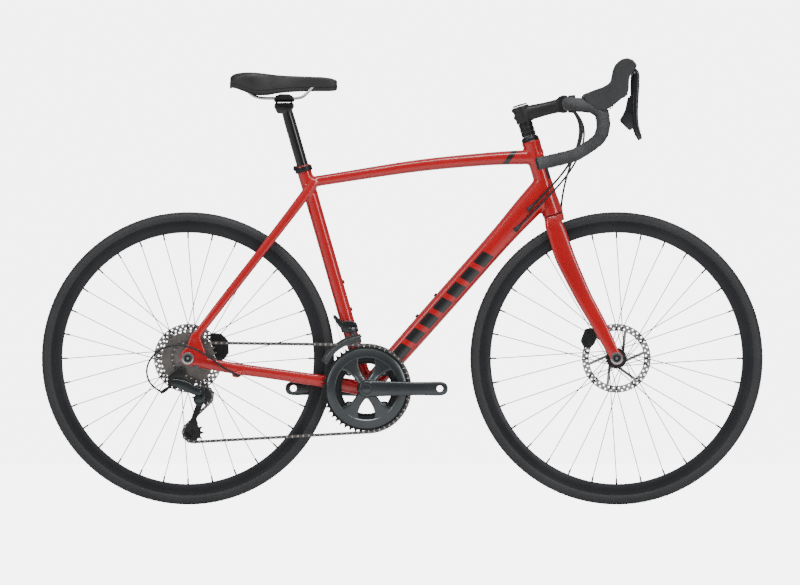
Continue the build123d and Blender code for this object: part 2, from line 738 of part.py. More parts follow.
# ---------------------------------------------------------------- gears
cog_18 = cog_teeth.index(cog_in_use)
with BuildPart() as cassette:
    for k, teeth in enumerate(cog_teeth):
        y = chain_y - (cog_18 - k) * cog_spacing
        add(sprocket(rear_x, axle_z, y, teeth, 1.8, 17.0, cog_phase))
    low_y = chain_y - cog_18 * cog_spacing - 3.4
    high_y = chain_y + (len(cog_teeth) - 1 - cog_18) * cog_spacing + 2.6
    add(disc(rear_x, axle_z, low_y, high_y, 17.4))
    add(disc(rear_x, axle_z, low_y - 1, high_y + 1, 9 + running), mode=Mode.SUBTRACT)
save(cassette.part, "cassette")

arm_angles = (45, 135, 225, 315)
bolt_r = 55


def chainring(y, teeth, thickness, band, tab_r, phase):
    """A chainring: teeth, a band, and four tabs with holes for its bolts."""
    with BuildPart() as piece:
        add(sprocket(bb_x, bb_z, y, teeth, thickness, band, phase))
        for at in arm_angles:
            tab = (bb_x + (bolt_r + 3) * cos(radians(at)), bb_z + (bolt_r + 3) * sin(radians(at)))
            out = (bb_x + (band + 3) * cos(radians(at)), bb_z + (band + 3) * sin(radians(at)))
            add(rod((tab[0], y, tab[1]), (out[0], y, out[1]), 0.5))
            add(disc(tab[0], tab[1], y - thickness / 2, y + thickness / 2, tab_r))
            hole = (bb_x + bolt_r * cos(radians(at)), bb_z + bolt_r * sin(radians(at)))
            add(disc(hole[0], hole[1], y - 5, y + 5, 4.05), mode=Mode.SUBTRACT)
    return piece.part


save(chainring(chain_y, ring_teeth, 2.6, 64, 12, ring_phase), "chainring_outer")
save(chainring(inner_ring_y, inner_ring_teeth, 2.4, 58, 9, 4), "chainring_inner")

with BuildPart() as ring_bolts:
    for at in arm_angles:
        x = bb_x + bolt_r * cos(radians(at))
        z = bb_z + bolt_r * sin(radians(at))
        add(disc(x, z, chain_y - 3.2, inner_ring_y + 2.2, 4.0))
        add(disc(x, z, chain_y - 3.2, chain_y - 1.4, 6.0))
save(ring_bolts.part, "chainring_bolts")


def crank_arm(way, y_in, y_out, foot_y):
    """A crank arm towards +X for way +1 or -X for -1, tapering to its pedal eye."""
    eye = bb_x + way * crank_length
    with BuildPart() as piece:
        with BuildSketch(side_plane(max(y_in, y_out))):
            with BuildLine():
                Polyline((bb_x + way * 6, bb_z + 19), (bb_x + way * 70, bb_z + 13), (eye, bb_z + 13.5),
                         (eye, bb_z - 13.5), (bb_x + way * 70, bb_z - 13), (bb_x + way * 6, bb_z - 19),
                         close=True)
            make_face()
            with Locations((eye, bb_z)):
                Circle(13.5)
            with Locations((bb_x, bb_z)):
                Circle(21)
        extrude(amount=abs(y_out - y_in))
        add(disc(bb_x, bb_z, foot_y, y_in, 21))
        add(disc(eye, bb_z, way * -90, way * -50, pedal_bore_r), mode=Mode.SUBTRACT)
    return piece.part


with BuildPart() as crank_right:
    add(crank_arm(1, -60, -75, -38.8))
    for at in arm_angles:
        side_x = cos(radians(at))
        side_z = sin(radians(at))
        arm = []
        for far, half_wide in ((0, 10), (bolt_r + 7, 8), (bolt_r + 7, -8), (0, -10)):
            arm.append((bb_x + far * side_x - half_wide * side_z, bb_z + far * side_z + half_wide * side_x))
        add(plate(arm, -41.3, -45.9))
        x = bb_x + bolt_r * side_x
        z = bb_z + bolt_r * side_z
        add(disc(x, z, -60, -30, 4.05), mode=Mode.SUBTRACT)
    add(disc(bb_x, bb_z, -62, 66, spindle_d / 2))
    add(disc(bb_x, bb_z, -50, 70, 8.5), mode=Mode.SUBTRACT)
    add(disc(bb_x, bb_z, -76, -70, 9), mode=Mode.SUBTRACT)
save(crank_right.part, "crank_right")

with BuildPart() as crank_left:
    add(crank_arm(-1, 60, 75, 38.8))
    add(disc(bb_x, bb_z, 30, 80, spindle_d / 2), mode=Mode.SUBTRACT)
    add(disc(bb_x, bb_z, 66.5, 74, 14, 5))
save(crank_left.part, "crank_left")

# ---------------------------------------------------------------- front derailleur
hinge_y = -38
hinge_z = 408

with BuildPart() as fd_body:
    band_at = seat_point(412)
    along = (seat_point(500) - seat_point(400)).normalized()
    add(rod(band_at - along * 8, band_at + along * 8, 19.5))
    add(plate([(-138, 398), (-142, 424), (-106, 424), (-100, 402)], -14, -30))
    add(plate([(-142, 400), (-162, 436), (-154, 441), (-128, 418)], -22, -28))
    for ear_from, ear_to in ((-124, -119.5), (-107.5, -103)):
        add(rod((ear_from, hinge_y, hinge_z), (ear_to, hinge_y, hinge_z), 5))
        add(plate([(ear_from, 403.5), (ear_from, 412.5), (ear_to, 412.5), (ear_to, 403.5)], -38, -29))
    add(rod((-124, hinge_y, hinge_z), (-103, hinge_y, hinge_z), 2))
    add(rod(band_at - along * 12, band_at + along * 12, 16.55), mode=Mode.SUBTRACT)
save(fd_body.part, "front_derailleur_body")


def arc_band(r_in, r_out, start, end, steps=14):
    """An outline between two radii about the bottom bracket, from one angle to another."""
    points = []
    for r, first, last in ((r_out, start, end), (r_in, end, start)):
        for k in range(steps):
            at = radians(first + (last - first) * k / (steps - 1))
            points.append((bb_x + r * cos(at), bb_z + r * sin(at)))
    return points


with BuildPart() as fd_cage:
    add(plate(arc_band(107, 124, 96, 148), chain_y - 5, chain_y - 6.2))
    add(plate(arc_band(107, 128, 96, 148), chain_y + 5, chain_y + 6.2))
    add(plate(arc_band(120, 124, 94, 104), chain_y - 6.2, chain_y + 6.2))
    tail = (bb_x + 114 * cos(radians(146)), bb_z + 114 * sin(radians(146)))
    add(disc(tail[0], tail[1], chain_y - 7, chain_y + 7, 3.5))
    tongue = [(-98, 384), (-109.5, 399), (-109.5, 407), (-117.5, 407), (-118, 386)]
    add(plate(tongue, chain_y + 5, chain_y + 7))
    add(rod((-118, hinge_y, hinge_z), (-109, hinge_y, hinge_z), 4.6))
    add(rod((-119, hinge_y, hinge_z), (-108, hinge_y, hinge_z), 2 + running), mode=Mode.SUBTRACT)
save(fd_cage.part, "front_derailleur_cage")

# ---------------------------------------------------------------- rear derailleur
hanger_x = -512
hanger_z = 309
link_rear_x = -527
link_rear_z = 284
link_front_x = -470
link_front_z = 262
cage_x = -470
cage_z = 244

with BuildPart() as rd_mount:
    add(disc(hanger_x, hanger_z, -dropout_y - 8.2, -104, 11))
    add(disc(hanger_x, hanger_z, -dropout_y - 0.5, -90, 4.9))
    add(plate([(-522, 306), (-540, 296), (-541, 272), (-520, 270), (-504, 301)], -84, -106))
    add(plate([(-533, 295), (-533, 273), (-498, 273), (-498, 295)], -80, -110), mode=Mode.SUBTRACT)
    for y in (-89.25, -100.25):
        add(rod((link_rear_x, y, 271), (link_rear_x, y, 297), 2.4))
    add(rod((-556, -97, 262), (-536, -96, 276), 4.5))
save(rd_mount.part, "rear_derailleur_mount")


def link_bar(y):
    """A link of the derailleur's parallelogram, with an upright eye at each end."""
    rear = (link_rear_x, y, link_rear_z)
    front = (link_front_x, y, link_front_z)
    with BuildPart() as piece:
        add(plate([(link_rear_x, 293), (-516, 293), (-484, 272), (link_front_x, 272), (link_front_x, 253),
                   (-484, 253), (-516, 275), (link_rear_x, 275)], y + 2, y - 2))
        for (x, _, z), low, high in ((rear, 274.5, 293.5), (front, 252.5, 272.5)):
            add(rod((x, y, low), (x, y, high), 4.4))
            add(rod((x, y, low - 1), (x, y, high + 1), 2.4 + running), mode=Mode.SUBTRACT)
    return piece.part


save(link_bar(-100.25), "rear_derailleur_outer_link")
save(link_bar(-89.25), "rear_derailleur_inner_link")

with BuildPart() as rd_knuckle:
    for y in (-89.25, -100.25):
        add(rod((link_front_x, y, 247), (link_front_x, y, 276.5), 2.4))
    knuckle_side = [(-480, 251.5), (-480, 238), (-460, 238), (-460, 277), (-479, 277), (-479, 273.5)]
    knuckle_side += [(-464.5, 273.5), (-464.5, 251.5)]
    add(plate(knuckle_side, -84, -106))
    add(disc(cage_x, cage_z, -55, -84.2, 14))
    add(disc(cage_x, cage_z, -51.6, -60, 4.0))
save(rd_knuckle.part, "rear_derailleur_knuckle")


def cage_plate(y_from, y_to):
    """One side of the pulley cage."""
    with BuildPart() as piece:
        with BuildSketch(side_plane(max(y_from, y_to))):
            with BuildLine():
                Polyline((cage_x - 9, cage_z + 2), (guide_x - 6, guide_z + 9), (guide_x + 8, guide_z + 3),
                         (guide_x + 4, guide_z - 14), (tension_x + 9, tension_z + 20),
                         (tension_x + 8, tension_z - 6), (tension_x - 8, tension_z - 6),
                         (tension_x - 8, tension_z + 14), close=True)
            make_face()
            with Locations((cage_x, cage_z), (guide_x, guide_z), (tension_x, tension_z)):
                Circle(9.5)
        extrude(amount=abs(y_to - y_from))
    return piece.part


with BuildPart() as rd_cage:
    add(cage_plate(chain_y - 5, chain_y - 7))
    add(cage_plate(chain_y + 5, chain_y + 7))
    for x, z in ((guide_x, guide_z), (tension_x, tension_z)):
        add(disc(x, z, chain_y - 6, chain_y + 6, 3.0))
    add(disc(cage_x, cage_z, -30, -60, 4.0 + running), mode=Mode.SUBTRACT)
save(rd_cage.part, "rear_derailleur_cage")
save(sprocket(guide_x, guide_z, chain_y, pulley_teeth, 2.0, 3.0 + running, guide_phase), "guide_pulley")
tension_pulley = sprocket(tension_x, tension_z, chain_y, pulley_teeth, 2.0, 3.0 + running, tension_phase)
save(tension_pulley, "tension_pulley")

# ---------------------------------------------------------------- hoses and cable housings


def cord(points, section_d, tightest):
    """A hose or housing along its route."""
    return bent_tube(points, cord_radii(points, tightest), section_d)


rear_loop = [(-384, -76, 302), (-412, -80, 316), (-440, -84, 338), (-470, -90, 358), (-505, -95, 371)]
rear_loop += [(-543, -98, 370), (-575, -99, 352), (-593, -99, 321), (-590, -99, 291), (-573, -98, 270)]
rear_loop += [(-556, -97, 262)]
with BuildPart() as rear_housing:
    add(cord(rear_loop, housing_d, 20))
save(rear_housing.part, "rear_shift_housing")

front_hose = [(394, 84, 918), (408, 62, 900), (414, 40, 866), (404, 22, 824), (386, 11, 778), (374, 14, 732)]
front_hose += [(368, 30, 688), (369, 46, 650), (373, 42, 612)]
save(cord(front_hose, hose_d, 20), "front_brake_hose")

rear_hose = [(394, -84, 918), (410, -66, 898), (416, -50, 862), (404, -38, 818), (372, -29, 768)]
rear_hose += [(330, -26.5, 722), (294, -25.6, 686)]
save(cord(rear_hose, hose_d, 20), "rear_brake_hose")

left_housing = [(394, 96, 918), (412, 74, 899), (420, 54, 864), (408, 40, 820), (374, 30.5, 770)]
left_housing += [(330, 27, 722), (290, 25.4, 680)]
right_housing = [(394, -96, 918), (414, -78, 898), (424, -60, 860), (412, -46, 812), (380, -36, 760)]
right_housing += [(336, -32.5, 712), (296, -30, 671), (264, -25.4, 639)]
with BuildPart() as housings:
    add(cord(left_housing, housing_d, 20))
    add(cord(right_housing, housing_d, 20))
save(housings.part, "shift_housings")
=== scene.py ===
import bpy
import bmesh
import json
import math
from mathutils import Matrix, Vector


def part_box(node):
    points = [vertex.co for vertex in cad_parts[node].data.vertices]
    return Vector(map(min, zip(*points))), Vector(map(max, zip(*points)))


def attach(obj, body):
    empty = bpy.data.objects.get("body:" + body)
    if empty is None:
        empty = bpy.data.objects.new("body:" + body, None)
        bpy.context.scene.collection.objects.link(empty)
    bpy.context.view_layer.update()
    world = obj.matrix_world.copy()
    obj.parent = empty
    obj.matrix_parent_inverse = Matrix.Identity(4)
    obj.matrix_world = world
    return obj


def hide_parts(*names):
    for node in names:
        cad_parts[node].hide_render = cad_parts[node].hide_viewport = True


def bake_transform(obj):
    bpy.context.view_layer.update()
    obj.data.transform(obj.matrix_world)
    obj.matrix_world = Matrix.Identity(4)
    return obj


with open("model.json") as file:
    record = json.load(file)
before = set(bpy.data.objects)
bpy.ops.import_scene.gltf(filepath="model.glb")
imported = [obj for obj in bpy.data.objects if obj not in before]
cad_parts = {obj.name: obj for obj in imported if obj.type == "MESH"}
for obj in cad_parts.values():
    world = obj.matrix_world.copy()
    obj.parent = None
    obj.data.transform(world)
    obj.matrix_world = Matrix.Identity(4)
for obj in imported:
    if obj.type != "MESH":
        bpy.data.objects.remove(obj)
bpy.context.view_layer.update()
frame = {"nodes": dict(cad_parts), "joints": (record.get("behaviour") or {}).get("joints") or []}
joint = {j["name"]: j for j in frame["joints"]}


# ---- The studio
# A pale floor under a pale sky, three soft lamps, and a long lens that looks straight at
# the bicycle's right side from far off, so that both wheels look round.
def at(joint_name):
    """The place of a joint's axis."""
    return Vector(joint[joint_name]["pos_m"])


front_axle = at("front_wheel_spin")
rear_axle = at("rear_wheel_spin")
crank_axle = at("crank_spin")
steer_at = at("steer")
steer_axis = Vector(joint["steer"]["axis"])
seat_axis = Vector(joint["seatpost_height"]["axis"])

studio_paint = bpy.data.materials.new("studio_paint")
studio_paint.use_nodes = True
studio_shader = studio_paint.node_tree.nodes["Principled BSDF"]
studio_shader.inputs["Base Color"].default_value = (0.94, 0.94, 0.94, 1)
studio_shader.inputs["Roughness"].default_value = 0.9
floor_glow = studio_paint.node_tree.nodes.new("ShaderNodeEmission")
floor_glow.inputs["Strength"].default_value = 7.1
floor_sees = studio_paint.node_tree.nodes.new("ShaderNodeLightPath")
floor_both = studio_paint.node_tree.nodes.new("ShaderNodeMixShader")
paint_wire = studio_paint.node_tree.links.new
floor_share = studio_paint.node_tree.nodes.new("ShaderNodeMath")
floor_share.operation = "MULTIPLY"
floor_share.inputs[1].default_value = 0.86
paint_wire(floor_sees.outputs["Is Camera Ray"], floor_share.inputs[0])
paint_wire(floor_share.outputs["Value"], floor_both.inputs["Fac"])
paint_wire(studio_shader.outputs["BSDF"], floor_both.inputs[1])
paint_wire(floor_glow.outputs["Emission"], floor_both.inputs[2])
paint_wire(floor_both.outputs["Shader"], studio_paint.node_tree.nodes["Material Output"].inputs["Surface"])


def studio_sheet(name, corners):
    """A flat sheet of the studio from its four corners."""
    mesh = bpy.data.meshes.new(name)
    mesh.from_pydata(corners, [], [(0, 1, 2, 3)])
    sheet = bpy.data.objects.new(name, mesh)
    bpy.context.collection.objects.link(sheet)
    mesh.materials.append(studio_paint)


studio_sheet("floor", [(-12, -52, 0), (12, -52, 0), (12, 12, 0), (-12, 12, 0)])

world = bpy.data.worlds.new("studio")
bpy.context.scene.world = world
world.use_nodes = True
fill_light = world.node_tree.nodes["Background"]
fill_light.inputs["Strength"].default_value = 0.62
heading = world.node_tree.nodes.new("ShaderNodeTexCoord")
height = world.node_tree.nodes.new("ShaderNodeSeparateXYZ")
glow = world.node_tree.nodes.new("ShaderNodeValToRGB")
glow.color_ramp.elements[0].position = 0.0
glow.color_ramp.elements[0].color = (0.16, 0.16, 0.17, 1)
glow.color_ramp.elements[1].position = 0.75
glow.color_ramp.elements[1].color = (1.0, 1.0, 1.0, 1)
open_sky = world.node_tree.nodes.new("ShaderNodeBackground")
open_sky.inputs["Strength"].default_value = 7.0
seen = world.node_tree.nodes.new("ShaderNodeLightPath")
either = world.node_tree.nodes.new("ShaderNodeMixShader")
wire = world.node_tree.links.new
wire(heading.outputs["Generated"], height.inputs["Vector"])
wire(height.outputs["Z"], glow.inputs["Fac"])
wire(glow.outputs["Color"], fill_light.inputs["Color"])
wire(seen.outputs["Is Camera Ray"], either.inputs["Fac"])
wire(fill_light.outputs["Background"], either.inputs[1])
wire(open_sky.outputs["Background"], either.inputs[2])
wire(either.outputs["Shader"], world.node_tree.nodes["World Output"].inputs["Surface"])


def soft_lamp(name, place, target, size, power):
    """A large square lamp aimed at a point."""
    lamp = bpy.data.lights.new(name, "AREA")
    lamp.shape = "RECTANGLE"
    lamp.size = size[0]
    lamp.size_y = size[1]
    lamp.energy = power
    lamp_object = bpy.data.objects.new(name, lamp)
    bpy.context.collection.objects.link(lamp_object)
    lamp_object.location = place
    aim = Vector(target) - Vector(place)
    lamp_object.rotation_euler = aim.to_track_quat("-Z", "Y").to_euler()


soft_lamp("lamp_above", (0.3, -1.6, 3.2), (0, 0, 0.5), (3.0, 0.5), 62)
soft_lamp("lamp_front", (2.6, -2.8, 1.6), (0.1, 0, 0.5), (0.8, 2.2), 36)
soft_lamp("lamp_rear", (-2.8, -2.4, 1.8), (-0.1, 0, 0.5), (0.8, 2.2), 27)

camera_distance = 50.0
metres_per_dot = 0.00232
camera = bpy.data.cameras.new("camera")
camera.sensor_width = 36
camera.lens = camera_distance / metres_per_dot * camera.sensor_width / 800
camera.clip_end = 120
camera_object = bpy.data.objects.new("camera", camera)
bpy.context.collection.objects.link(camera_object)
camera_object.location = (-0.0053, -camera_distance, 0.4927)
camera_object.rotation_euler = (math.pi / 2, 0, 0)
bpy.context.scene.camera = camera_object


# ---- The frame
# Hydroformed aluminium tubes, welded and smoothed at the joints, painted gloss red with black bands on
# the top tube, the head tube and the down tube.
def finish(name, dark, light, rough, metallic=0.0, coat=0.0, speckle=300.0, bump=0.05, stretch=(1, 1, 1),
           bump_depth=0.0002):
    """A surface whose colour and gloss vary over a fine grain, with a bump of the same scale."""
    made = bpy.data.materials.new(name)
    made.use_nodes = True
    nodes = made.node_tree.nodes
    link = made.node_tree.links.new
    shader = nodes["Principled BSDF"]
    shader.inputs["Metallic"].default_value = metallic
    shader.inputs["Coat Weight"].default_value = coat
    shader.inputs["Coat Roughness"].default_value = 0.04
    where = nodes.new("ShaderNodeTexCoord")
    scaled = nodes.new("ShaderNodeMapping")
    scaled.inputs["Scale"].default_value = stretch
    link(where.outputs["Object"], scaled.inputs["Vector"])
    grain = nodes.new("ShaderNodeTexNoise")
    grain.name = "grain"
    grain.inputs["Scale"].default_value = speckle
    grain.inputs["Detail"].default_value = 3
    broad = nodes.new("ShaderNodeTexNoise")
    broad.inputs["Scale"].default_value = 9
    broad.inputs["Detail"].default_value = 2
    link(scaled.outputs["Vector"], grain.inputs["Vector"])
    link(where.outputs["Object"], broad.inputs["Vector"])
    both = nodes.new("ShaderNodeMath")
    both.operation = "MULTIPLY"
    link(grain.outputs["Fac"], both.inputs[0])
    link(broad.outputs["Fac"], both.inputs[1])
    ramp = nodes.new("ShaderNodeValToRGB")
    ramp.name = "colour"
    ramp.color_ramp.elements[0].position = 0.12
    ramp.color_ramp.elements[0].color = (*dark, 1)
    ramp.color_ramp.elements[1].position = 0.42
    ramp.color_ramp.elements[1].color = (*light, 1)
    link(both.outputs["Value"], ramp.inputs["Fac"])
    link(ramp.outputs["Color"], shader.inputs["Base Color"])
    gloss = nodes.new("ShaderNodeMapRange")
    gloss.inputs["To Min"].default_value = rough * 0.85
    gloss.inputs["To Max"].default_value = min(rough * 1.2, 1.0)
    link(grain.outputs["Fac"], gloss.inputs["Value"])
    link(gloss.outputs["Result"], shader.inputs["Roughness"])
    relief = nodes.new("ShaderNodeBump")
    relief.inputs["Strength"].default_value = bump
    relief.inputs["Distance"].default_value = bump_depth
    link(grain.outputs["Fac"], relief.inputs["Height"])
    link(relief.outputs["Normal"], shader.inputs["Normal"])
    return made


def smooth_path(stations, steps):
    """Stations of any numbers, with smooth in-between ones added by a Catmull-Rom curve."""
    rows = []
    count = len(stations)
    for i in range(count - 1):
        p0, p1, p2, p3 = (stations[max(0, min(count - 1, i + k))] for k in (-1, 0, 1, 2))
        for step in range(steps):
            t = step / steps
            row = []
            for a, b, c, d in zip(p0, p1, p2, p3):
                row.append(0.5 * (2 * b + (c - a) * t + (2 * a - 5 * b + 4 * c - d) * t * t
                                  + (3 * b - a - 3 * c + d) * t ** 3))
            rows.append(row)
    rows.append(list(stations[-1]))
    return rows


def mesh_object(name, points, faces, material, smooth=True):
    """A linked object from points and faces, with its faces turned outwards."""
    mesh = bpy.data.meshes.new(name)
    mesh.from_pydata([tuple(p) for p in points], [], faces)
    shape = bmesh.new()
    shape.from_mesh(mesh)
    bmesh.ops.remove_doubles(shape, verts=shape.verts, dist=1e-6)
    bmesh.ops.recalc_face_normals(shape, faces=shape.faces)
    shape.to_mesh(mesh)
    shape.free()
    if smooth:
        mesh.shade_smooth()
    mesh.materials.append(material)
    made = bpy.data.objects.new(name, mesh)
    bpy.context.collection.objects.link(made)
    return made


def loft(name, stations, material, steps=6, ring=32, square=2.2, across=Vector((0, 1, 0))):
    """A closed skin through stations of x, y, z, width across and depth, with softly squared sections."""
    rows = smooth_path(stations, steps)
    points = []
    for i, row in enumerate(rows):
        ahead = Vector(rows[min(i + 1, len(rows) - 1)][:3]) - Vector(rows[max(i - 1, 0)][:3])
        up = ahead.normalized().cross(across).normalized()
        side = up.cross(ahead).normalized()
        for k in range(ring):
            turn = 2 * math.pi * k / ring
            c = math.copysign(abs(math.cos(turn)) ** (2 / square), math.cos(turn))
            s = math.copysign(abs(math.sin(turn)) ** (2 / square), math.sin(turn))
            points.append(Vector(row[:3]) + side * (row[3] / 2 * c) + up * (row[4] / 2 * s))
    faces = []
    for i in range(len(rows) - 1):
        for k in range(ring):
            n = (k + 1) % ring
            faces.append((i * ring + k, i * ring + n, (i + 1) * ring + n, (i + 1) * ring + k))
    faces.append(tuple(range(ring))[::-1])
    faces.append(tuple((len(rows) - 1) * ring + k for k in range(ring)))
    return mesh_object(name, points, faces, material)


def lathe(name, centre, axis, outline, material, ring=64, smooth=False):
    """A turned piece about an axis, from an outline of distances along the axis and radii."""
    axis = axis.normalized()
    out = axis.orthogonal().normalized()
    over = axis.cross(out)
    points = []
    for along, radius in outline:
        for k in range(ring):
            turn = 2 * math.pi * k / ring
            points.append(centre + axis * along + (out * math.cos(turn) + over * math.sin(turn)) * max(radius,
                                                                                                       1e-5))
    faces = []
    count = len(outline)
    closed = outline[0] == outline[-1]
    for i in range(count - 1):
        for k in range(ring):
            n = (k + 1) % ring
            faces.append((i * ring + k, i * ring + n, (i + 1) * ring + n, (i + 1) * ring + k))
    if not closed:
        faces.append(tuple(range(ring)))
        faces.append(tuple((count - 1) * ring + k for k in range(ring)))
    made = mesh_object(name, points, faces, material, smooth=True)
    if not smooth:
        sharpen(made)
    return made


def sharpen(piece, angle=35):
    """Keep edges sharper than the angle crisp in shading."""
    shape = bmesh.new()
    shape.from_mesh(piece.data)
    for edge in shape.edges:
        edge.smooth = not (len(edge.link_faces) == 2 and edge.calc_face_angle(0) > math.radians(angle))
    shape.to_mesh(piece.data)
    shape.free()


def slab(name, outline, y_low, y_high, material, bevel=0.0008, segments=2):
    """A flat piece with an x, z outline and rounded edges."""
    points = [Vector((x, y_low, z)) for x, z in outline] + [Vector((x, y_high, z)) for x, z in outline]
    count = len(outline)
    faces = [tuple(range(count)), tuple(range(2 * count - 1, count - 1, -1))]
    faces += [(k, (k + 1) % count, count + (k + 1) % count, count + k) for k in range(count)]
    made = mesh_object(name, points, faces, material)
    if bevel:
        rounded = made.modifiers.new("edge", "BEVEL")
        rounded.width = bevel
        rounded.segments = segments
        rounded.angle_limit = math.radians(40)
        apply_modifiers(made)
    sharpen(made)
    return made


def apply_modifiers(piece):
    """Turn a piece's modifiers into its mesh."""
    view_layer = bpy.context.view_layer
    view_layer.update()
    evaluated = piece.evaluated_get(bpy.context.evaluated_depsgraph_get())
    made = bpy.data.meshes.new_from_object(evaluated)
    old = piece.data
    piece.modifiers.clear()
    piece.data = made
    bpy.data.meshes.remove(old)


def join(name, parts):
    """One object from several, in the first one's place, each face keeping its own material."""
    shape = bmesh.new()
    metals = []
    for part in parts:
        first = len(shape.faces)
        shape.from_mesh(part.data)
        shape.faces.ensure_lookup_table()
        own = list(part.data.materials)
        for face in shape.faces[first:]:
            metal = own[face.material_index]
            if metal not in metals:
                metals.append(metal)
            face.material_index = metals.index(metal)
    for part in parts[1:]:
        bpy.data.objects.remove(part)
    shape.to_mesh(parts[0].data)
    shape.free()
    parts[0].data.materials.clear()
    for metal in metals:
        parts[0].data.materials.append(metal)
    parts[0].name = name
    return parts[0]


def weld(name, parts, voxel, rounds):
    """Several closed skins run into one, with the joints softened as a welded and filed seam is."""
    made = join(name, parts)
    skin = made.modifiers.new("skin", "REMESH")
    skin.mode = "VOXEL"
    skin.voxel_size = voxel
    file = made.modifiers.new("file", "SMOOTH")
    file.factor = 0.5
    file.iterations = rounds
    apply_modifiers(made)
    made.data.shade_smooth()
    return made


def fit(piece, body, *nodes):
    """Fix a piece to a body, in place of the nodes it stands for."""
    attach(piece, body)
    if nodes:
        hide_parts(*nodes)


paint = finish("gloss_red_paint", (0.43, 0.0, 0.002), (0.50, 0.0, 0.003), 0.26, coat=0.8, speckle=2400,
               bump=0.02, bump_depth=0.00004)


def band_mask(material, normal, start, stop, pitch=0.0, fill=1.0, low=-1.0, high=1.0, slant=0.0,
              colour=(0.008, 0.008, 0.009)):
    """Paint black where a point's distance along the normal lies in a range, whole or in slanted bars."""
    nodes = material.node_tree.nodes
    link = material.node_tree.links.new
    shader = nodes["Principled BSDF"]
    before = shader.inputs["Base Color"].links[0].from_socket
    where = nodes.new("ShaderNodeTexCoord")

    def compute(operation, a, b, c=None):
        step = nodes.new("ShaderNodeMath")
        step.operation = operation
        for slot_number, value in enumerate((a, b, c)):
            if value is None:
                continue
            if isinstance(value, (int, float)):
                step.inputs[slot_number].default_value = value
            else:
                link(value, step.inputs[slot_number])
        return step.outputs["Value"]

    def distance(direction):
        dot = nodes.new("ShaderNodeVectorMath")
        dot.operation = "DOT_PRODUCT"
        dot.inputs[1].default_value = direction
        link(where.outputs["Object"], dot.inputs[0])
        return dot.outputs["Value"]

    along = distance(normal)
    side = distance((-normal[2], 0, normal[0]))
    leant = compute("ADD", along, compute("MULTIPLY", side, slant))
    mask = compute("MULTIPLY", compute("GREATER_THAN", leant, start), compute("LESS_THAN", leant, stop))
    within = compute("MULTIPLY", compute("GREATER_THAN", side, low), compute("LESS_THAN", side, high))
    mask = compute("MULTIPLY", mask, within)
    if pitch:
        share = compute("FRACT", compute("DIVIDE", compute("SUBTRACT", leant, start), pitch), 0)
        mask = compute("MULTIPLY", mask, compute("LESS_THAN", share, fill))
    mix = nodes.new("ShaderNodeMix")
    mix.data_type = "RGBA"
    link(mask, mix.inputs["Factor"])
    link(before, mix.inputs["A"])
    mix.inputs["B"].default_value = (*colour, 1)
    link(mix.outputs["Result"], shader.inputs["Base Color"])


def along_seat(height, y=0.0):
    """The seat tube's centre at a height."""
    return crank_axle + seat_axis * ((height - crank_axle.z) / seat_axis.z) + Vector((0, y - crank_axle.y, 0))


def along_steer(height, y=0.0):
    """The steering axis at a height."""
    return steer_at + steer_axis * ((height - steer_at.z) / steer_axis.z) + Vector((0, y, 0))


top_joint = Vector((0.328, 0, 0.806))
down_joint = Vector((0.334, 0, 0.736))
frame_skin = []
frame_skin.append(loft("top_tube", [(-0.222, 0, 0.747, 0.026, 0.026), (-0.160, 0, 0.757, 0.026, 0.025),
                                    (0.030, 0, 0.786, 0.032, 0.028), (0.180, 0, 0.801, 0.035, 0.030),
                                    (0.270, 0, 0.806, 0.037, 0.033), (*top_joint, 0.036, 0.034)], paint,
                       square=2.6))
frame_skin.append(loft("down_tube", [(crank_axle.x + 0.004, 0, 0.274, 0.050, 0.040),
                                     (-0.020, 0, 0.338, 0.048, 0.048),
                                     (0.100, 0, 0.474, 0.047, 0.051), (0.220, 0, 0.610, 0.046, 0.052),
                                     (0.285, 0, 0.683, 0.045, 0.060), (*down_joint, 0.042, 0.066)], paint,
                       square=2.7))
frame_skin.append(loft("seat_tube", [(*crank_axle, 0.038, 0.036), (*along_seat(0.36), 0.034, 0.034),
                                     (*along_seat(0.60), 0.0325, 0.0325), (*along_seat(0.77), 0.0335, 0.0335),
                                     (*along_seat(0.784), 0.036, 0.036)], paint))
frame_skin.append(loft("head_tube", [(*along_steer(0.6725), 0.050, 0.050),
                                     (*along_steer(0.690), 0.047, 0.047),
                                     (*along_steer(0.73), 0.042, 0.042), (*along_steer(0.81), 0.040, 0.041),
                                     (*along_steer(0.845), 0.044, 0.044)], paint, square=2.0))
frame_skin.append(lathe("bottom_bracket_shell", crank_axle, Vector((0, 1, 0)),
                        [(-0.034, 0.0), (-0.034, 0.022), (-0.031, 0.0245), (0.031, 0.0245), (0.034, 0.022),
                         (0.034, 0.0)], paint))
dropout_outline = [(-0.452, 0.345), (-0.458, 0.321), (-0.480, 0.323), (-0.497, 0.322), (-0.512, 0.330),
                   (-0.516, 0.345), (-0.510, 0.357), (-0.500, 0.366), (-0.494, 0.385), (-0.488, 0.400),
                   (-0.470, 0.394)]
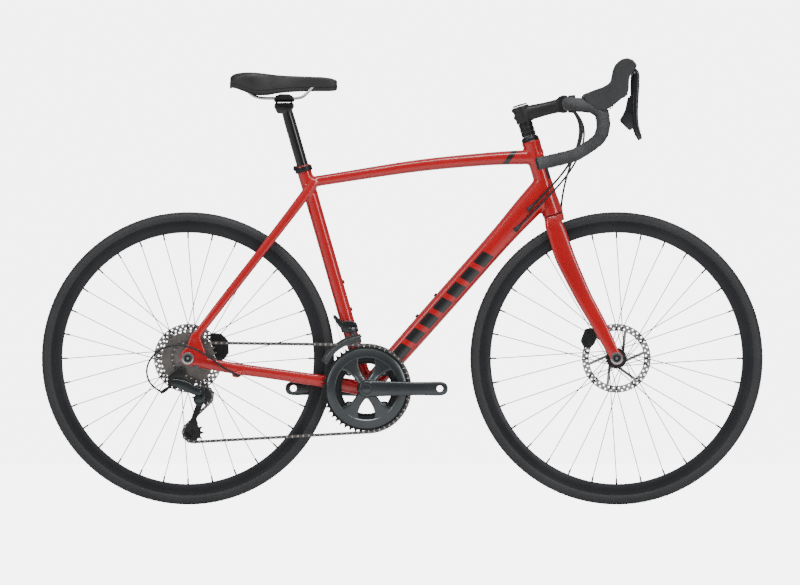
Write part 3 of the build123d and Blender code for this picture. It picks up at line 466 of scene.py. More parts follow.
for side in (-1, 1):
    frame_skin.append(loft("chain_stay", [(-0.088, side * 0.022, 0.270, 0.022, 0.036),
                                          (-0.150, side * 0.0265, 0.281, 0.015, 0.032),
                                          (-0.190, side * 0.0305, 0.288, 0.017, 0.029),
                                          (-0.290, side * 0.048, 0.303, 0.018, 0.026),
                                          (-0.391, side * 0.066, 0.317, 0.017, 0.026),
                                          (-0.468, side * 0.0745, 0.331, 0.010, 0.026)],
                           paint, square=2.5))
    frame_skin.append(loft("seat_stay", [(-0.203, side * 0.008, 0.753, 0.016, 0.024),
                                         (-0.238, side * 0.020, 0.703, 0.015, 0.023),
                                         (-0.330, side * 0.045, 0.583, 0.014, 0.0210),
                                         (-0.420, side * 0.066, 0.467, 0.014, 0.0205),
                                         (-0.484, side * 0.0745, 0.384, 0.010, 0.019)], paint, square=2.3))
    frame_skin.append(slab("dropout", dropout_outline, side * 0.075 - 0.004, side * 0.075 + 0.004, paint,
                           bevel=0.0015))
frame_skin.append(loft("stay_bridge", [(-0.262, -0.028, 0.668, 0.012, 0.012),
                                       (-0.262, 0.028, 0.668, 0.012, 0.012)],
                       paint, across=Vector((0, 0, 1))))
frame_skin.append(slab("cable_boss", [(-0.374, 0.308), (-0.394, 0.304), (-0.396, 0.298), (-0.384, 0.294),
                                      (-0.372, 0.299)],
                       -0.077, -0.070, paint))
frame_body = weld("frame_painted", frame_skin, 0.0024, 6)
fit(frame_body, "frame", "frame")
black_alloy = finish("black_anodised", (0.012, 0.012, 0.014), (0.028, 0.028, 0.031), 0.34, metallic=0.5,
                     speckle=1800, bump=0.06)
steer_up = steer_axis if steer_axis.z > 0 else -steer_axis
steerer = lathe("steerer", along_steer(0.835), steer_up, [(0.0, 0.0), (0.0, 0.0143), (0.090, 0.0143),
                                                          (0.090, 0.0)], black_alloy, ring=48)
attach(steerer, "steering")
for name, foot, outline in (("headset_top_cover", 0.8405, [(0.0, 0.0), (0.0, 0.0205), (0.0035, 0.0212),
                                                           (0.0075, 0.0190), (0.0075, 0.0)]),
                            ("headset_crown_race", 0.6635, [(0.0, 0.0), (0.0, 0.0205), (0.0050, 0.0225),
                                                            (0.0105, 0.0232), (0.0105, 0.0)])):
    cover = lathe(name, along_steer(foot), steer_up, outline, black_alloy, ring=64)
    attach(cover, "frame")

down_way = (down_joint - Vector((-0.076, 0, 0.276))).normalized()
down_start = Vector((-0.076, 0, 0.276)).dot(down_way)
down_side = Vector((-0.076, 0, 0.276)).dot(Vector((-down_way.z, 0, down_way.x)))
band_mask(paint, (down_way.x, 0, down_way.z), down_start + 0.105, down_start + 0.485, 0.0475, 0.72,
          down_side - 0.016, down_side + 0.012, 0.25)
band_mask(paint, (0.812, 0, -0.584), -0.2733, -0.2623, low=0.77, high=0.84)
head_side = along_steer(0.765).dot(Vector((-steer_axis.z, 0, steer_axis.x)))
head_along = along_steer(0.765).dot(steer_axis)
band_mask(paint, tuple(steer_axis), head_along - 0.014, head_along + 0.014, low=-5, high=head_side - 0.0125)


# ---- The fork
# Hydroformed alloy crown and legs in the same red, bolted to the wheel by a thru-axle; each leg ends in a
# round dropout eye.
fork_skin = [loft("crown", [(*along_steer(0.6715), 0.048, 0.048), (*along_steer(0.664), 0.054, 0.046),
                            (*along_steer(0.655), 0.062, 0.043)], paint, square=2.4)]
for side in (-1, 1):
    fork_skin.append(loft("leg", [(0.350, side * 0.022, 0.666, 0.022, 0.038),
                                  (0.352, side * 0.028, 0.650, 0.021, 0.042),
                                  (0.361, side * 0.0315, 0.624, 0.018, 0.045),
                                  (0.377, side * 0.036, 0.576, 0.016, 0.046),
                                  (0.400, side * 0.0415, 0.525, 0.015, 0.042),
                                  (0.423, side * 0.046, 0.478, 0.014, 0.038),
                                  (0.459, side * 0.0515, 0.413, 0.012, 0.034),
                                  (0.484, side * 0.054, 0.364, 0.010, 0.028),
                                  (front_axle.x - 0.002, side * 0.054, front_axle.z + 0.004, 0.008, 0.026)],
                          paint, square=2.5))
    fork_skin.append(lathe("dropout_eye", front_axle + Vector((0, side * 0.054, 0)), Vector((0, 1, 0)),
                           [(-0.004, 0.0), (-0.004, 0.014), (-0.002, 0.0155), (0.002, 0.0155), (0.004, 0.014),
                            (0.004, 0.0)], paint))
fork_painted = weld("fork_painted", fork_skin, 0.0017, 5)
fit(fork_painted, "steering", "fork")


# ---- The wheels
# Tubeless-ready alloy rims on black steel spokes, slick tyres with a file tread on the shoulder, black hubs
# and drilled steel rotors. The tyre and the rim are turned; the tread is laid on by a node tree.
tyre_radius = (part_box("front_tyre")[1][2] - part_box("front_tyre")[0][2]) / 2
tyre_half = 0.0139
rim_hook = 0.3175
rim_inner = 0.2915
rubber = finish("tyre_rubber", (0.018, 0.019, 0.021), (0.032, 0.033, 0.036), 0.62, speckle=900, bump=0.25)
tread_rubber = finish("tread_rubber", (0.03, 0.031, 0.034), (0.05, 0.051, 0.055), 0.7, speckle=1300,
                      bump=0.35)
rim_black = finish("rim_anodised", (0.020, 0.021, 0.024), (0.034, 0.035, 0.039), 0.38, metallic=0.6,
                   speckle=1500,
                   bump=0.08)
tyre_outline = []
for step in range(27):
    turn = math.radians(-128 + 256 * step / 26)
    flat = 0.0006 if abs(turn) < 0.5 else 0.0
    tyre_outline.append((tyre_half * math.sin(turn), tyre_radius - 0.014 + (0.014 - flat) * math.cos(turn)))
tyre_outline += [(0.0092, 0.3172), (0.0, 0.3165), (-0.0092, 0.3172), tyre_outline[0]]
rim_outline = [(-0.0110, rim_hook), (-0.0112, 0.3165), (-0.0111, 0.308), (-0.0100, 0.300), (-0.0072, 0.2935),
               (-0.0035, rim_inner), (0.0035, rim_inner), (0.0072, 0.2935), (0.0100, 0.300), (0.0111, 0.308),
               (0.0112, 0.3165), (0.0110, rim_hook), (0.0098, rim_hook), (0.0092, 0.311), (0.0, 0.3085),
               (-0.0092, 0.311),
               (-0.0098, rim_hook), (-0.0110, rim_hook)]


def tread_tree():
    """A node tree that sets small sipes at every point of a mesh, turned to face outwards."""
    tree = bpy.data.node_groups.new("tread_sipes", "GeometryNodeTree")
    tree.interface.new_socket("Geometry", in_out="INPUT", socket_type="NodeSocketGeometry")
    tree.interface.new_socket("Length", in_out="INPUT", socket_type="NodeSocketFloat")
    tree.interface.new_socket("Width", in_out="INPUT", socket_type="NodeSocketFloat")
    tree.interface.new_socket("Rubber", in_out="INPUT", socket_type="NodeSocketMaterial")
    tree.interface.new_socket("Geometry", in_out="OUTPUT", socket_type="NodeSocketGeometry")
    nodes = tree.nodes
    link = tree.links.new
    entry = nodes.new("NodeGroupInput")
    leave = nodes.new("NodeGroupOutput")
    block = nodes.new("GeometryNodeMeshCube")
    size = nodes.new("ShaderNodeCombineXYZ")
    link(entry.outputs["Length"], size.inputs["X"])
    link(entry.outputs["Width"], size.inputs["Y"])
    size.inputs["Z"].default_value = 0.0009
    link(size.outputs["Vector"], block.inputs["Size"])
    facing = nodes.new("FunctionNodeAlignRotationToVector")
    facing.axis = "Z"
    normal = nodes.new("GeometryNodeInputNamedAttribute")
    normal.data_type = "FLOAT_VECTOR"
    normal.inputs["Name"].default_value = "out"
    link(normal.outputs["Attribute"], facing.inputs["Vector"])
    lean = nodes.new("GeometryNodeInputNamedAttribute")
    lean.data_type = "FLOAT"
    lean.inputs["Name"].default_value = "lean"
    turned = nodes.new("FunctionNodeRotateRotation")
    turned.rotation_space = "LOCAL"
    spin = nodes.new("FunctionNodeAxisAngleToRotation")
    spin.inputs["Axis"].default_value = (0, 0, 1)
    link(lean.outputs["Attribute"], spin.inputs["Angle"])
    link(facing.outputs["Rotation"], turned.inputs["Rotation"])
    link(spin.outputs["Rotation"], turned.inputs["Rotate By"])
    place = nodes.new("GeometryNodeInstanceOnPoints")
    link(entry.outputs["Geometry"], place.inputs["Points"])
    link(block.outputs["Mesh"], place.inputs["Instance"])
    link(turned.outputs["Rotation"], place.inputs["Rotation"])
    real = nodes.new("GeometryNodeRealizeInstances")
    link(place.outputs["Instances"], real.inputs["Geometry"])
    dress = nodes.new("GeometryNodeSetMaterial")
    link(real.outputs["Geometry"], dress.inputs["Geometry"])
    link(entry.outputs["Rubber"], dress.inputs["Material"])
    link(dress.outputs["Geometry"], leave.inputs["Geometry"])
    return tree


def grow(name, base, tree, values):
    """The plain mesh that a node tree makes from a base mesh."""
    made = bpy.data.objects.new(name, base)
    bpy.context.collection.objects.link(made)
    nodes = made.modifiers.new("grow", "NODES")
    nodes.node_group = tree
    for item in tree.interface.items_tree:
        if item.item_type == "SOCKET" and item.in_out == "INPUT" and item.name in values:
            nodes[item.identifier] = values[item.name]
    apply_modifiers(made)
    return made


sipes = tread_tree()
for wheel, hub in (("front_wheel", front_axle), ("rear_wheel", rear_axle)):
    end = wheel.split("_")[0]
    tyre = lathe(end + "_tyre_rubber", hub, Vector((0, 1, 0)), tyre_outline, rubber, ring=180, smooth=True)
    rim = lathe(end + "_rim_black", hub, Vector((0, 1, 0)), rim_outline, rim_black, ring=180)
    points = []
    normals = []
    leans = []
    rows = ((0.42, 0.5), (0.62, -0.5), (-0.42, 2.64), (-0.62, -2.64))
    for turn_number in range(150):
        for row, (tilt, lean_angle) in enumerate(rows):
            around = 2 * math.pi * (turn_number + 0.5 * (row % 2)) / 150
            out = Vector((math.cos(around) * math.cos(tilt), math.sin(tilt),
                          math.sin(around) * math.cos(tilt)))
            middle = hub + Vector((math.cos(around), 0, math.sin(around))) * (tyre_radius - 0.014)
            points.append(middle + out * 0.0138)
            normals.append(out)
            leans.append(lean_angle)
    base = bpy.data.meshes.new("tread_points")
    base.from_pydata([tuple(point) for point in points], [], [])
    base.attributes.new("lean", "FLOAT", "POINT").data.foreach_set("value", leans)
    base.attributes.new("out", "FLOAT_VECTOR", "POINT").data.foreach_set("vector",
                                                                         [v for n in normals for v in n])
    tread = grow(end + "_tread", base, sipes, {"Length": 0.0075, "Width": 0.0011, "Rubber": tread_rubber})
    fit(tyre, wheel, end + "_tyre")
    fit(rim, wheel, end + "_rim")
    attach(tread, wheel)


def dress(node, material):
    """Give a piece kept from the design its finish."""
    kept = frame["nodes"][node]
    if kept.data.materials:
        for number in range(len(kept.data.materials)):
            kept.data.materials[number] = material
    else:
        kept.data.materials.append(material)


spoke_black = finish("black_spoke_steel", (0.020, 0.018, 0.018), (0.040, 0.036, 0.036), 0.35, metallic=0.8,
                     speckle=700, bump=0.03)
disc_steel = finish("brushed_disc_steel", (0.48, 0.48, 0.49), (0.66, 0.66, 0.67), 0.26, metallic=1.0,
                    speckle=160,
                    stretch=(1, 9, 1), bump=0.08)
bright_steel = finish("bright_steel", (0.42, 0.42, 0.43), (0.64, 0.64, 0.65), 0.22, metallic=1.0, speckle=500,
                      bump=0.04)
for node in ("front_spokes", "rear_spokes"):
    dress(node, spoke_black)
for node in ("front_rotor", "rear_rotor"):
    dress(node, disc_steel)


def hub_shell(end, hub, reach, flanges, flange_r, barrel, rotor_y):
    """A turned hub: end caps, barrel, two flanges and the splined seat for the rotor."""
    low, high = sorted(flanges)
    outline = [(-reach, 0.0065), (-reach, 0.0095), (-reach + 0.006, 0.0100), (-reach + 0.007, 0.0125)]
    outline += [(low - 0.0030, barrel + 0.003), (low - 0.0016, flange_r), (low + 0.0016, flange_r)]
    outline += [(low + 0.0030, barrel + 0.002), (low + 0.012, barrel - 0.001), (high - 0.012, barrel - 0.001)]
    outline += [(high - 0.0030, barrel + 0.002), (high - 0.0016, flange_r), (high + 0.0016, flange_r)]
    outline += [(high + 0.0030, 0.0169), (rotor_y + 0.0012, 0.0169), (rotor_y + 0.0013, 0.0205),
                (rotor_y + 0.0040, 0.0205)]
    outline += [(rotor_y + 0.0045, 0.0125), (reach - 0.003, 0.0110), (reach, 0.0095), (reach, 0.0065),
                (-reach, 0.0065)]
    shell = lathe(end + "_hub_turned", hub, Vector((0, 1, 0)), outline, black_alloy, ring=96)
    fit(shell, end + "_wheel", end + "_hub")


hub_shell("front", front_axle, 0.0497, (0.022, -0.033), 0.0225, 0.013, 0.037)
hub_shell("rear", rear_axle, 0.0707, (0.030, -0.018), 0.0255, 0.014, 0.0555)


def axle_head(name, place, side, body, node):
    """A thru-axle's head: a dished alloy washer round a black hexagon-socket bolt."""
    way = Vector((0, side, 0))
    washer = lathe(name + "_washer", place, way, [(0.0, 0.0), (0.0, 0.0135), (0.0015, 0.0145),
                                                  (0.0035, 0.0135),
                                                  (0.0040, 0.0100), (0.0025, 0.0085), (0.0025, 0.0)],
                   bright_steel, ring=48)
    bolt = lathe(name + "_bolt", place, way, [(-0.002, 0.0), (-0.002, 0.0078), (0.0042, 0.0078),
                                              (0.0050, 0.0068), (0.0050, 0.0036),
                                              (0.0015, 0.0030), (0.0015, 0.0)], black_alloy, ring=6 * 6)
    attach(washer, body)
    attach(bolt, body)
    dress(node, black_alloy)


axle_head("front_axle_head", front_axle + Vector((0, -0.058, 0)), -1, "steering", "front_thru_axle")
axle_head("rear_axle_head", rear_axle + Vector((0, -0.079, 0)), -1, "frame", "rear_thru_axle")


# ---- The seat
# A slim racing saddle: a stitched synthetic cover over foam on a nylon shell, on two steel rails held in a
# two-bolt clamp on a gloss black 27.2 mm post.
cover_leather = finish("saddle_cover_leather", (0.012, 0.012, 0.013), (0.026, 0.026, 0.028), 0.46,
                       speckle=1500, bump=0.35)
shell_nylon = finish("saddle_shell_nylon", (0.014, 0.014, 0.015), (0.024, 0.024, 0.026), 0.55, speckle=900,
                     bump=0.15)
post_black = finish("post_gloss_black", (0.008, 0.008, 0.009), (0.016, 0.016, 0.018), 0.16, metallic=0.2,
                    coat=0.6, speckle=2200, bump=0.02)
saddle_low = Vector(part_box("saddle_cover")[0])
saddle_rows = [(0.000, 0.046, 0.9895, 0.012), (0.008, 0.058, 0.9985, 0.019), (0.028, 0.067, 1.0030, 0.030),
               (0.055, 0.069, 1.0035, 0.040), (0.085, 0.060, 1.0005, 0.038), (0.110, 0.046, 0.9975, 0.031),
               (0.135, 0.034, 0.9960, 0.027), (0.170, 0.0245, 0.9950, 0.024), (0.205, 0.0205, 0.9935, 0.022),
               (0.232, 0.0175, 0.9905, 0.019), (0.246, 0.0110, 0.9860, 0.013),
               (0.2495, 0.0040, 0.9820, 0.005)]


def saddle_skin(name, inset, drop, material, wall):
    """A saddle-shaped sheet: flat across the top, rolled down at the sides, open beneath."""
    rows = smooth_path(saddle_rows, 5)
    ring = 40
    points = []
    for row in rows:
        offset, half, top, deep = row
        half = max(half - inset, 0.0008)
        for k in range(ring + 1):
            t = -1 + 2 * k / ring
            lean = abs(t) ** 1.0
            y = half * math.sin(lean * math.pi * 0.5) ** 0.9 * math.copysign(1, t)
            roll = max(0.0, lean - 0.62) / 0.38
            groove = 0.0022 * math.exp(-(y / 0.009) ** 2) * (1 if 0.03 < offset < 0.2 else 0)
            z = top - drop - deep * roll ** 1.8 - 0.0035 * lean ** 2 - groove
            tuck = 1 - 0.10 * roll ** 3
            points.append(Vector((saddle_low.x + offset, y * tuck, z)))
    faces = []
    for i in range(len(rows) - 1):
        for k in range(ring):
            a = i * (ring + 1) + k
            faces.append((a, a + 1, a + ring + 2, a + ring + 1))
    made = mesh_object(name, points, faces, material)
    if sum(f.normal.z for f in made.data.polygons) < 0:
        made.data.flip_normals()
    thick = made.modifiers.new("wall", "SOLIDIFY")
    thick.thickness = wall
    thick.offset = -1
    apply_modifiers(made)
    made.data.shade_smooth()
    return made


cover = saddle_skin("saddle_cover_sewn", 0.0, 0.0, cover_leather, 0.0075)
puffed = cover.modifiers.new("sub", "SUBSURF")
puffed.levels = 1
puffed.render_levels = 1
apply_modifiers(cover)
cover.data.shade_smooth()
fit(cover, "saddle", "saddle_cover")
saddle_base = saddle_skin("saddle_shell_moulded", 0.004, 0.0085, shell_nylon, 0.003)
fit(saddle_base, "saddle", "saddle_shell")


def pipe(name, points, radius, material, ring=14, order=3, resolution=10):
    """A round cord or wire on one smooth curve, as a mesh."""
    curve = bpy.data.curves.new(name, "CURVE")
    curve.dimensions = "3D"
    curve.bevel_depth = radius
    curve.bevel_resolution = ring // 4
    curve.resolution_u = resolution
    curve.use_fill_caps = True
    spline = curve.splines.new("NURBS")
    spline.points.add(len(points) - 1)
    for knot, point in zip(spline.points, points):
        knot.co = (*point, 1)
    spline.order_u = order
    spline.use_endpoint_u = True
    holder = bpy.data.objects.new(name, curve)
    bpy.context.collection.objects.link(holder)
    bpy.context.view_layer.update()
    mesh = bpy.data.meshes.new_from_object(holder.evaluated_get(bpy.context.evaluated_depsgraph_get()))
    bpy.data.objects.remove(holder)
    made = bpy.data.objects.new(name, mesh)
    bpy.context.collection.objects.link(made)
    mesh.materials.clear()
    mesh.materials.append(material)
    mesh.shade_smooth()
    return made


rails = []
for side in (-1, 1):
    rails.append(pipe("rail", [(-0.392, side * 0.030, 0.984), (-0.366, side * 0.025, 0.966),
                               (-0.346, side * 0.0225, 0.948),
                               (-0.325, side * 0.022, 0.943), (-0.300, side * 0.022, 0.943),
                               (-0.265, side * 0.022, 0.943),
                               (-0.240, side * 0.022, 0.943), (-0.224, side * 0.021, 0.950),
                               (-0.200, side * 0.011, 0.978)],
                      0.0035, bright_steel))
fit(join("saddle_rails_bent", rails), "saddle", "saddle_rails")
post = lathe("seatpost_turned", along_seat(0.70), seat_axis,
             [(-0.05, 0.0), (-0.05, 0.0136), (0.195, 0.0136), (0.205, 0.0132), (0.222, 0.0128), (0.225, 0.0)],
             post_black, ring=64, smooth=False)
head_block = slab("post_head", [(-0.2905, 0.908), (-0.2975, 0.924), (-0.2960, 0.933), (-0.2520, 0.933),
                                (-0.2505, 0.925), (-0.2600, 0.906)],
                  -0.0125, 0.0125, post_black, bevel=0.004, segments=3)
fit(join("seatpost_black", [post, head_block]), "saddle", "seatpost")
clamp_parts = []
for side in (-1, 1):
    y_low, y_high = sorted((side * 0.0145, side * 0.0285))
    clamp_parts.append(slab("cheek", [(-0.297, 0.935), (-0.298, 0.940), (-0.293, 0.949), (-0.285, 0.953),
                                      (-0.263, 0.953),
                                      (-0.255, 0.949), (-0.250, 0.940), (-0.251, 0.935)], y_low, y_high,
                            black_alloy, bevel=0.0018))
clamp_parts.append(slab("yoke", [(-0.295, 0.934), (-0.295, 0.941), (-0.254, 0.941), (-0.254, 0.934)], -0.0285,
                        0.0285, black_alloy, bevel=0.001))
for x in (-0.292, -0.257):
    clamp_parts.append(lathe("bolt", Vector((x, 0, 0.920)), Vector((0, 0, 1)),
                             [(0.0, 0.0), (0.0, 0.0042), (0.005, 0.0042), (0.005, 0.0025), (0.030, 0.0025),
                              (0.030, 0.0)], bright_steel, ring=24))
fit(join("saddle_clamp_bolted", clamp_parts), "saddle", "saddle_clamp")
collar = lathe("seat_collar", along_seat(0.7785), seat_axis,
               [(-0.006, 0.0166), (-0.006, 0.0196), (-0.0045, 0.0204), (0.0045, 0.0204), (0.0062, 0.0196),
                (0.0068, 0.0150), (0.0068, 0.0139),
                (-0.006, 0.0139), (-0.006, 0.0166)], black_alloy, ring=64)
ears = slab("ears", [(-0.2525, 0.7745), (-0.2535, 0.7865), (-0.2400, 0.7865), (-0.2400, 0.7745)], -0.0085,
            0.0085, black_alloy, bevel=0.002)
pinch = lathe("pinch", Vector((-0.2475, -0.0105, 0.7805)), Vector((0, 1, 0)),
              [(0.0, 0.0), (0.0, 0.0038), (0.004, 0.0038), (0.004, 0.0024), (0.021, 0.0024), (0.021, 0.0)],
              bright_steel, ring=24)
fit(join("seat_clamp_pinched", [collar, ears, pinch]), "frame", "seat_clamp")


# ---- The cockpit
# A forged stem on alloy spacers, a compact drop bar wound with cushioned tape, and two hydraulic brake
# levers in rubber hoods with a shift paddle behind each blade.
stem_black = finish("stem_matte_black", (0.012, 0.012, 0.013), (0.024, 0.024, 0.026), 0.44, metallic=0.2,
                    speckle=1600, bump=0.12)
spacer_parts = [lathe("cone", along_steer(0.8462), steer_axis, [(0.0, 0.0145), (0.0, 0.0205), (0.002, 0.0208),
                                                                (0.008, 0.0180), (0.0088, 0.0172),
                                                              (0.0088, 0.0145), (0.0, 0.0145)], black_alloy,
                      ring=64)]
for low, high in ((0.8563, 0.866), (0.8663, 0.876), (0.8763, 0.886)):
    length = (high - low) / steer_axis.z
    spacer_parts.append(lathe("spacer", along_steer(low), steer_axis,
                              [(0.0, 0.0145), (0.0, 0.0164), (0.0006, 0.0168), (length - 0.0006, 0.0168),
                                                                     (length, 0.0164), (length, 0.0145),
                               (0.0, 0.0145)], black_alloy, ring=64))
fit(join("spacers_turned", spacer_parts), "steering", "headset_spacers")
silver_ring = lathe("race_ring", along_steer(0.8552), steer_axis,
                    [(0.0, 0.0150), (0.0, 0.0176), (0.0008, 0.0176), (0.0008, 0.0150), (0.0, 0.0150)],
                    bright_steel, ring=64)
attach(silver_ring, "steering")
stem_parts = [lathe("clamp", along_steer(0.8865), steer_axis, [(0.0, 0.0), (0.0, 0.0186), (0.0015, 0.0193),
                                                               (0.0385, 0.0193), (0.0400, 0.0186),
                                                               (0.0400, 0.0)],
                    stem_black, ring=48)]
stem_parts.append(loft("neck", [(0.283, 0, 0.9060, 0.034, 0.036), (0.305, 0, 0.9120, 0.031, 0.034),
                                (0.335, 0, 0.9195, 0.031, 0.031),
                                (0.358, 0, 0.9250, 0.038, 0.032), (0.368, 0, 0.9275, 0.042, 0.036)],
                       stem_black, square=2.8))
stem_parts.append(slab("bar_seat", [(0.360, 0.9110), (0.357, 0.930), (0.361, 0.9460), (0.372, 0.9505),
                                    (0.3835, 0.9500), (0.3835, 0.9100), (0.374, 0.9085)],
                       -0.021, 0.021, stem_black, bevel=0.003, segments=3))
for z in (0.898, 0.914):
    stem_parts.append(lathe("boss", along_steer(z) + Vector((-0.0175, -0.016, 0)), Vector((0, 1, 0)),
                            [(0.0, 0.0), (0.0, 0.0050), (0.001, 0.0056), (0.031, 0.0056), (0.032, 0.0050),
                             (0.032, 0.0)], stem_black, ring=24))
fit(weld("stem_forged", stem_parts, 0.0011, 4), "steering", "stem")
plate_parts = [slab("plate", [(0.3845, 0.9095), (0.3845, 0.9505), (0.394, 0.9500), (0.4020, 0.9440),
                              (0.4055, 0.930), (0.4020, 0.9160), (0.394, 0.9095)],
                    -0.021, 0.021, stem_black, bevel=0.003, segments=3)]
for side in (-1, 1):
    for z in (0.9125, 0.9475):
        plate_parts.append(lathe("screw", Vector((0.3925, side * 0.0155, z)), Vector((1, 0, 0)),
                                 [(0.0, 0.0), (0.0, 0.0036), (0.0085, 0.0036), (0.009, 0.0032),
                                  (0.009, 0.0018), (0.007, 0.0016), (0.007, 0.0)],
                                 bright_steel, ring=24))
fit(join("faceplate_forged", plate_parts), "steering", "stem_faceplate")
cap_parts = [lathe("cap", along_steer(0.9255), steer_axis, [(0.0, 0.0), (0.0, 0.0168), (0.002, 0.0170),
                                                            (0.0035, 0.0155), (0.0038, 0.0050),
                                                          (0.0030, 0.0046), (0.0030, 0.0)], stem_black,
                   ring=64)]
cap_parts.append(lathe("cap_bolt", along_steer(0.9275), steer_axis,
                       [(0.0, 0.0), (0.0, 0.0042), (0.0016, 0.0042), (0.0020, 0.0036), (0.0020, 0.0)],
                       bright_steel, ring=24))
fit(join("steerer_cap_turned", cap_parts), "steering", "steerer_cap")

bar_wide = 0.205
bar_points = [(0.384, 0.0, 0.930), (0.384, 0.10, 0.930), (0.384, 0.160, 0.930), (0.386, 0.193, 0.930),
              (0.397, 0.2045, 0.929),
              (0.420, bar_wide, 0.9270), (0.443, bar_wide, 0.9235), (0.4605, bar_wide, 0.911),
              (0.4655, bar_wide, 0.893),
              (0.4655, bar_wide, 0.873), (0.457, bar_wide + 0.001, 0.851), (0.436, bar_wide + 0.002, 0.833),
              (0.400, bar_wide + 0.004, 0.812),
              (0.355, bar_wide + 0.006, 0.800), (0.312, bar_wide + 0.008, 0.790)]


def curve_samples(points, count):
    """Evenly spaced places and directions along one smooth curve through the points."""
    dense = [Vector(row) for row in smooth_path(points, 24)]
    lengths = [0.0]
    for a, b in zip(dense, dense[1:]):
        lengths.append(lengths[-1] + (b - a).length)
    samples = []
    k = 0
    for i in range(count):
        want = lengths[-1] * i / (count - 1)
        while k < len(dense) - 2 and lengths[k + 1] < want:
            k += 1
        share = (want - lengths[k]) / max(lengths[k + 1] - lengths[k], 1e-9)
        samples.append((dense[k].lerp(dense[k + 1], share), (dense[k + 1] - dense[k]).normalized(), want))
    return samples


def swept(name, samples, radius_at, material, ring=40):
    """A tube along samples, whose radius may vary along and around it."""
    points = []
    side = Vector((0, 0, 1)).cross(samples[0][1]).normalized()
    for place, way, far in samples:
        side = (side - way * side.dot(way)).normalized()
        over = way.cross(side)
        for k in range(ring):
            turn = 2 * math.pi * k / ring
            points.append(place + (side * math.cos(turn) + over * math.sin(turn)) * radius_at(far, turn))
    faces = []
    for i in range(len(samples) - 1):
        for k in range(ring):
            n = (k + 1) % ring
            faces.append((i * ring + k, i * ring + n, (i + 1) * ring + n, (i + 1) * ring + k))
    faces.append(tuple(range(ring)))
    faces.append(tuple((len(samples) - 1) * ring + k for k in range(ring)))
    return mesh_object(name, points, faces, material)


tape_cork = finish("bar_tape_speckled", (0.022, 0.023, 0.025), (0.12, 0.125, 0.13), 0.78, speckle=900,
                   bump=0.6)
tape_ramp = tape_cork.node_tree.nodes["colour"].color_ramp
tape_ramp.elements[0].position = 0.20
tape_ramp.elements[1].position = 0.44
wrap_pitch = 0.021
tape_parts = []
bar_parts = []
for side in (-1, 1):
    route = [(x, side * y, z) for x, y, z in bar_points]
    samples = curve_samples(route, 520)
    tape_samples = [s for s in samples if s[2] > 0.078]

    def tape_radius(far, turn):
        """Overlapping turns: each rises along its width and drops at its edge."""
        phase = ((far - 0.078) / wrap_pitch + turn / (2 * math.pi) * side) % 1.0
        return 0.0141 + 0.0009 * phase - 0.0011 * max(0.0, (phase - 0.90) / 0.10)

    tape_parts.append(swept("tape", tape_samples, tape_radius, tape_cork))
    bar_parts.append(swept("bar", [s for s in samples[::8] if s[2] < 0.1], lambda far,
                           turn: 0.0159 if far < 0.052 else 0.012 + max(0.0,
                                                                        0.0039 * (1 - (far - 0.052) / 0.02)),
                           black_alloy, ring=32))
    end = samples[-1][0]
    way = samples[-1][1]
    bar_parts.append(lathe("plug", end, way, [(-0.002, 0.0), (-0.002, 0.0150), (0.0005, 0.0155),
                                              (0.0028, 0.0135), (0.0036, 0.0)], shell_nylon, ring=40))
fit(join("bar_tape_wound", tape_parts), "steering", "bar_tape")
fit(join("handlebar_tube", bar_parts), "steering", "handlebar")

hood_rubber = finish("hood_rubber", (0.016, 0.017, 0.018), (0.034, 0.035, 0.037), 0.60, speckle=1900,
                     bump=0.4)
lever_black = finish("lever_gloss_black", (0.010, 0.010, 0.012), (0.022, 0.023, 0.025), 0.20, metallic=0.4,
                     coat=0.5, speckle=2000, bump=0.02)
lever_edge = finish("lever_bright_edge", (0.30, 0.31, 0.32), (0.50, 0.51, 0.52), 0.25, metallic=1.0,
                    speckle=900, bump=0.03)


def cut(piece, cutter):
    """Bore one shape out of another."""
    bore = piece.modifiers.new("bore", "BOOLEAN")
    bore.operation = "DIFFERENCE"
    bore.object = cutter
    bore.solver = "EXACT"
    apply_modifiers(piece)
    bpy.data.objects.remove(cutter)


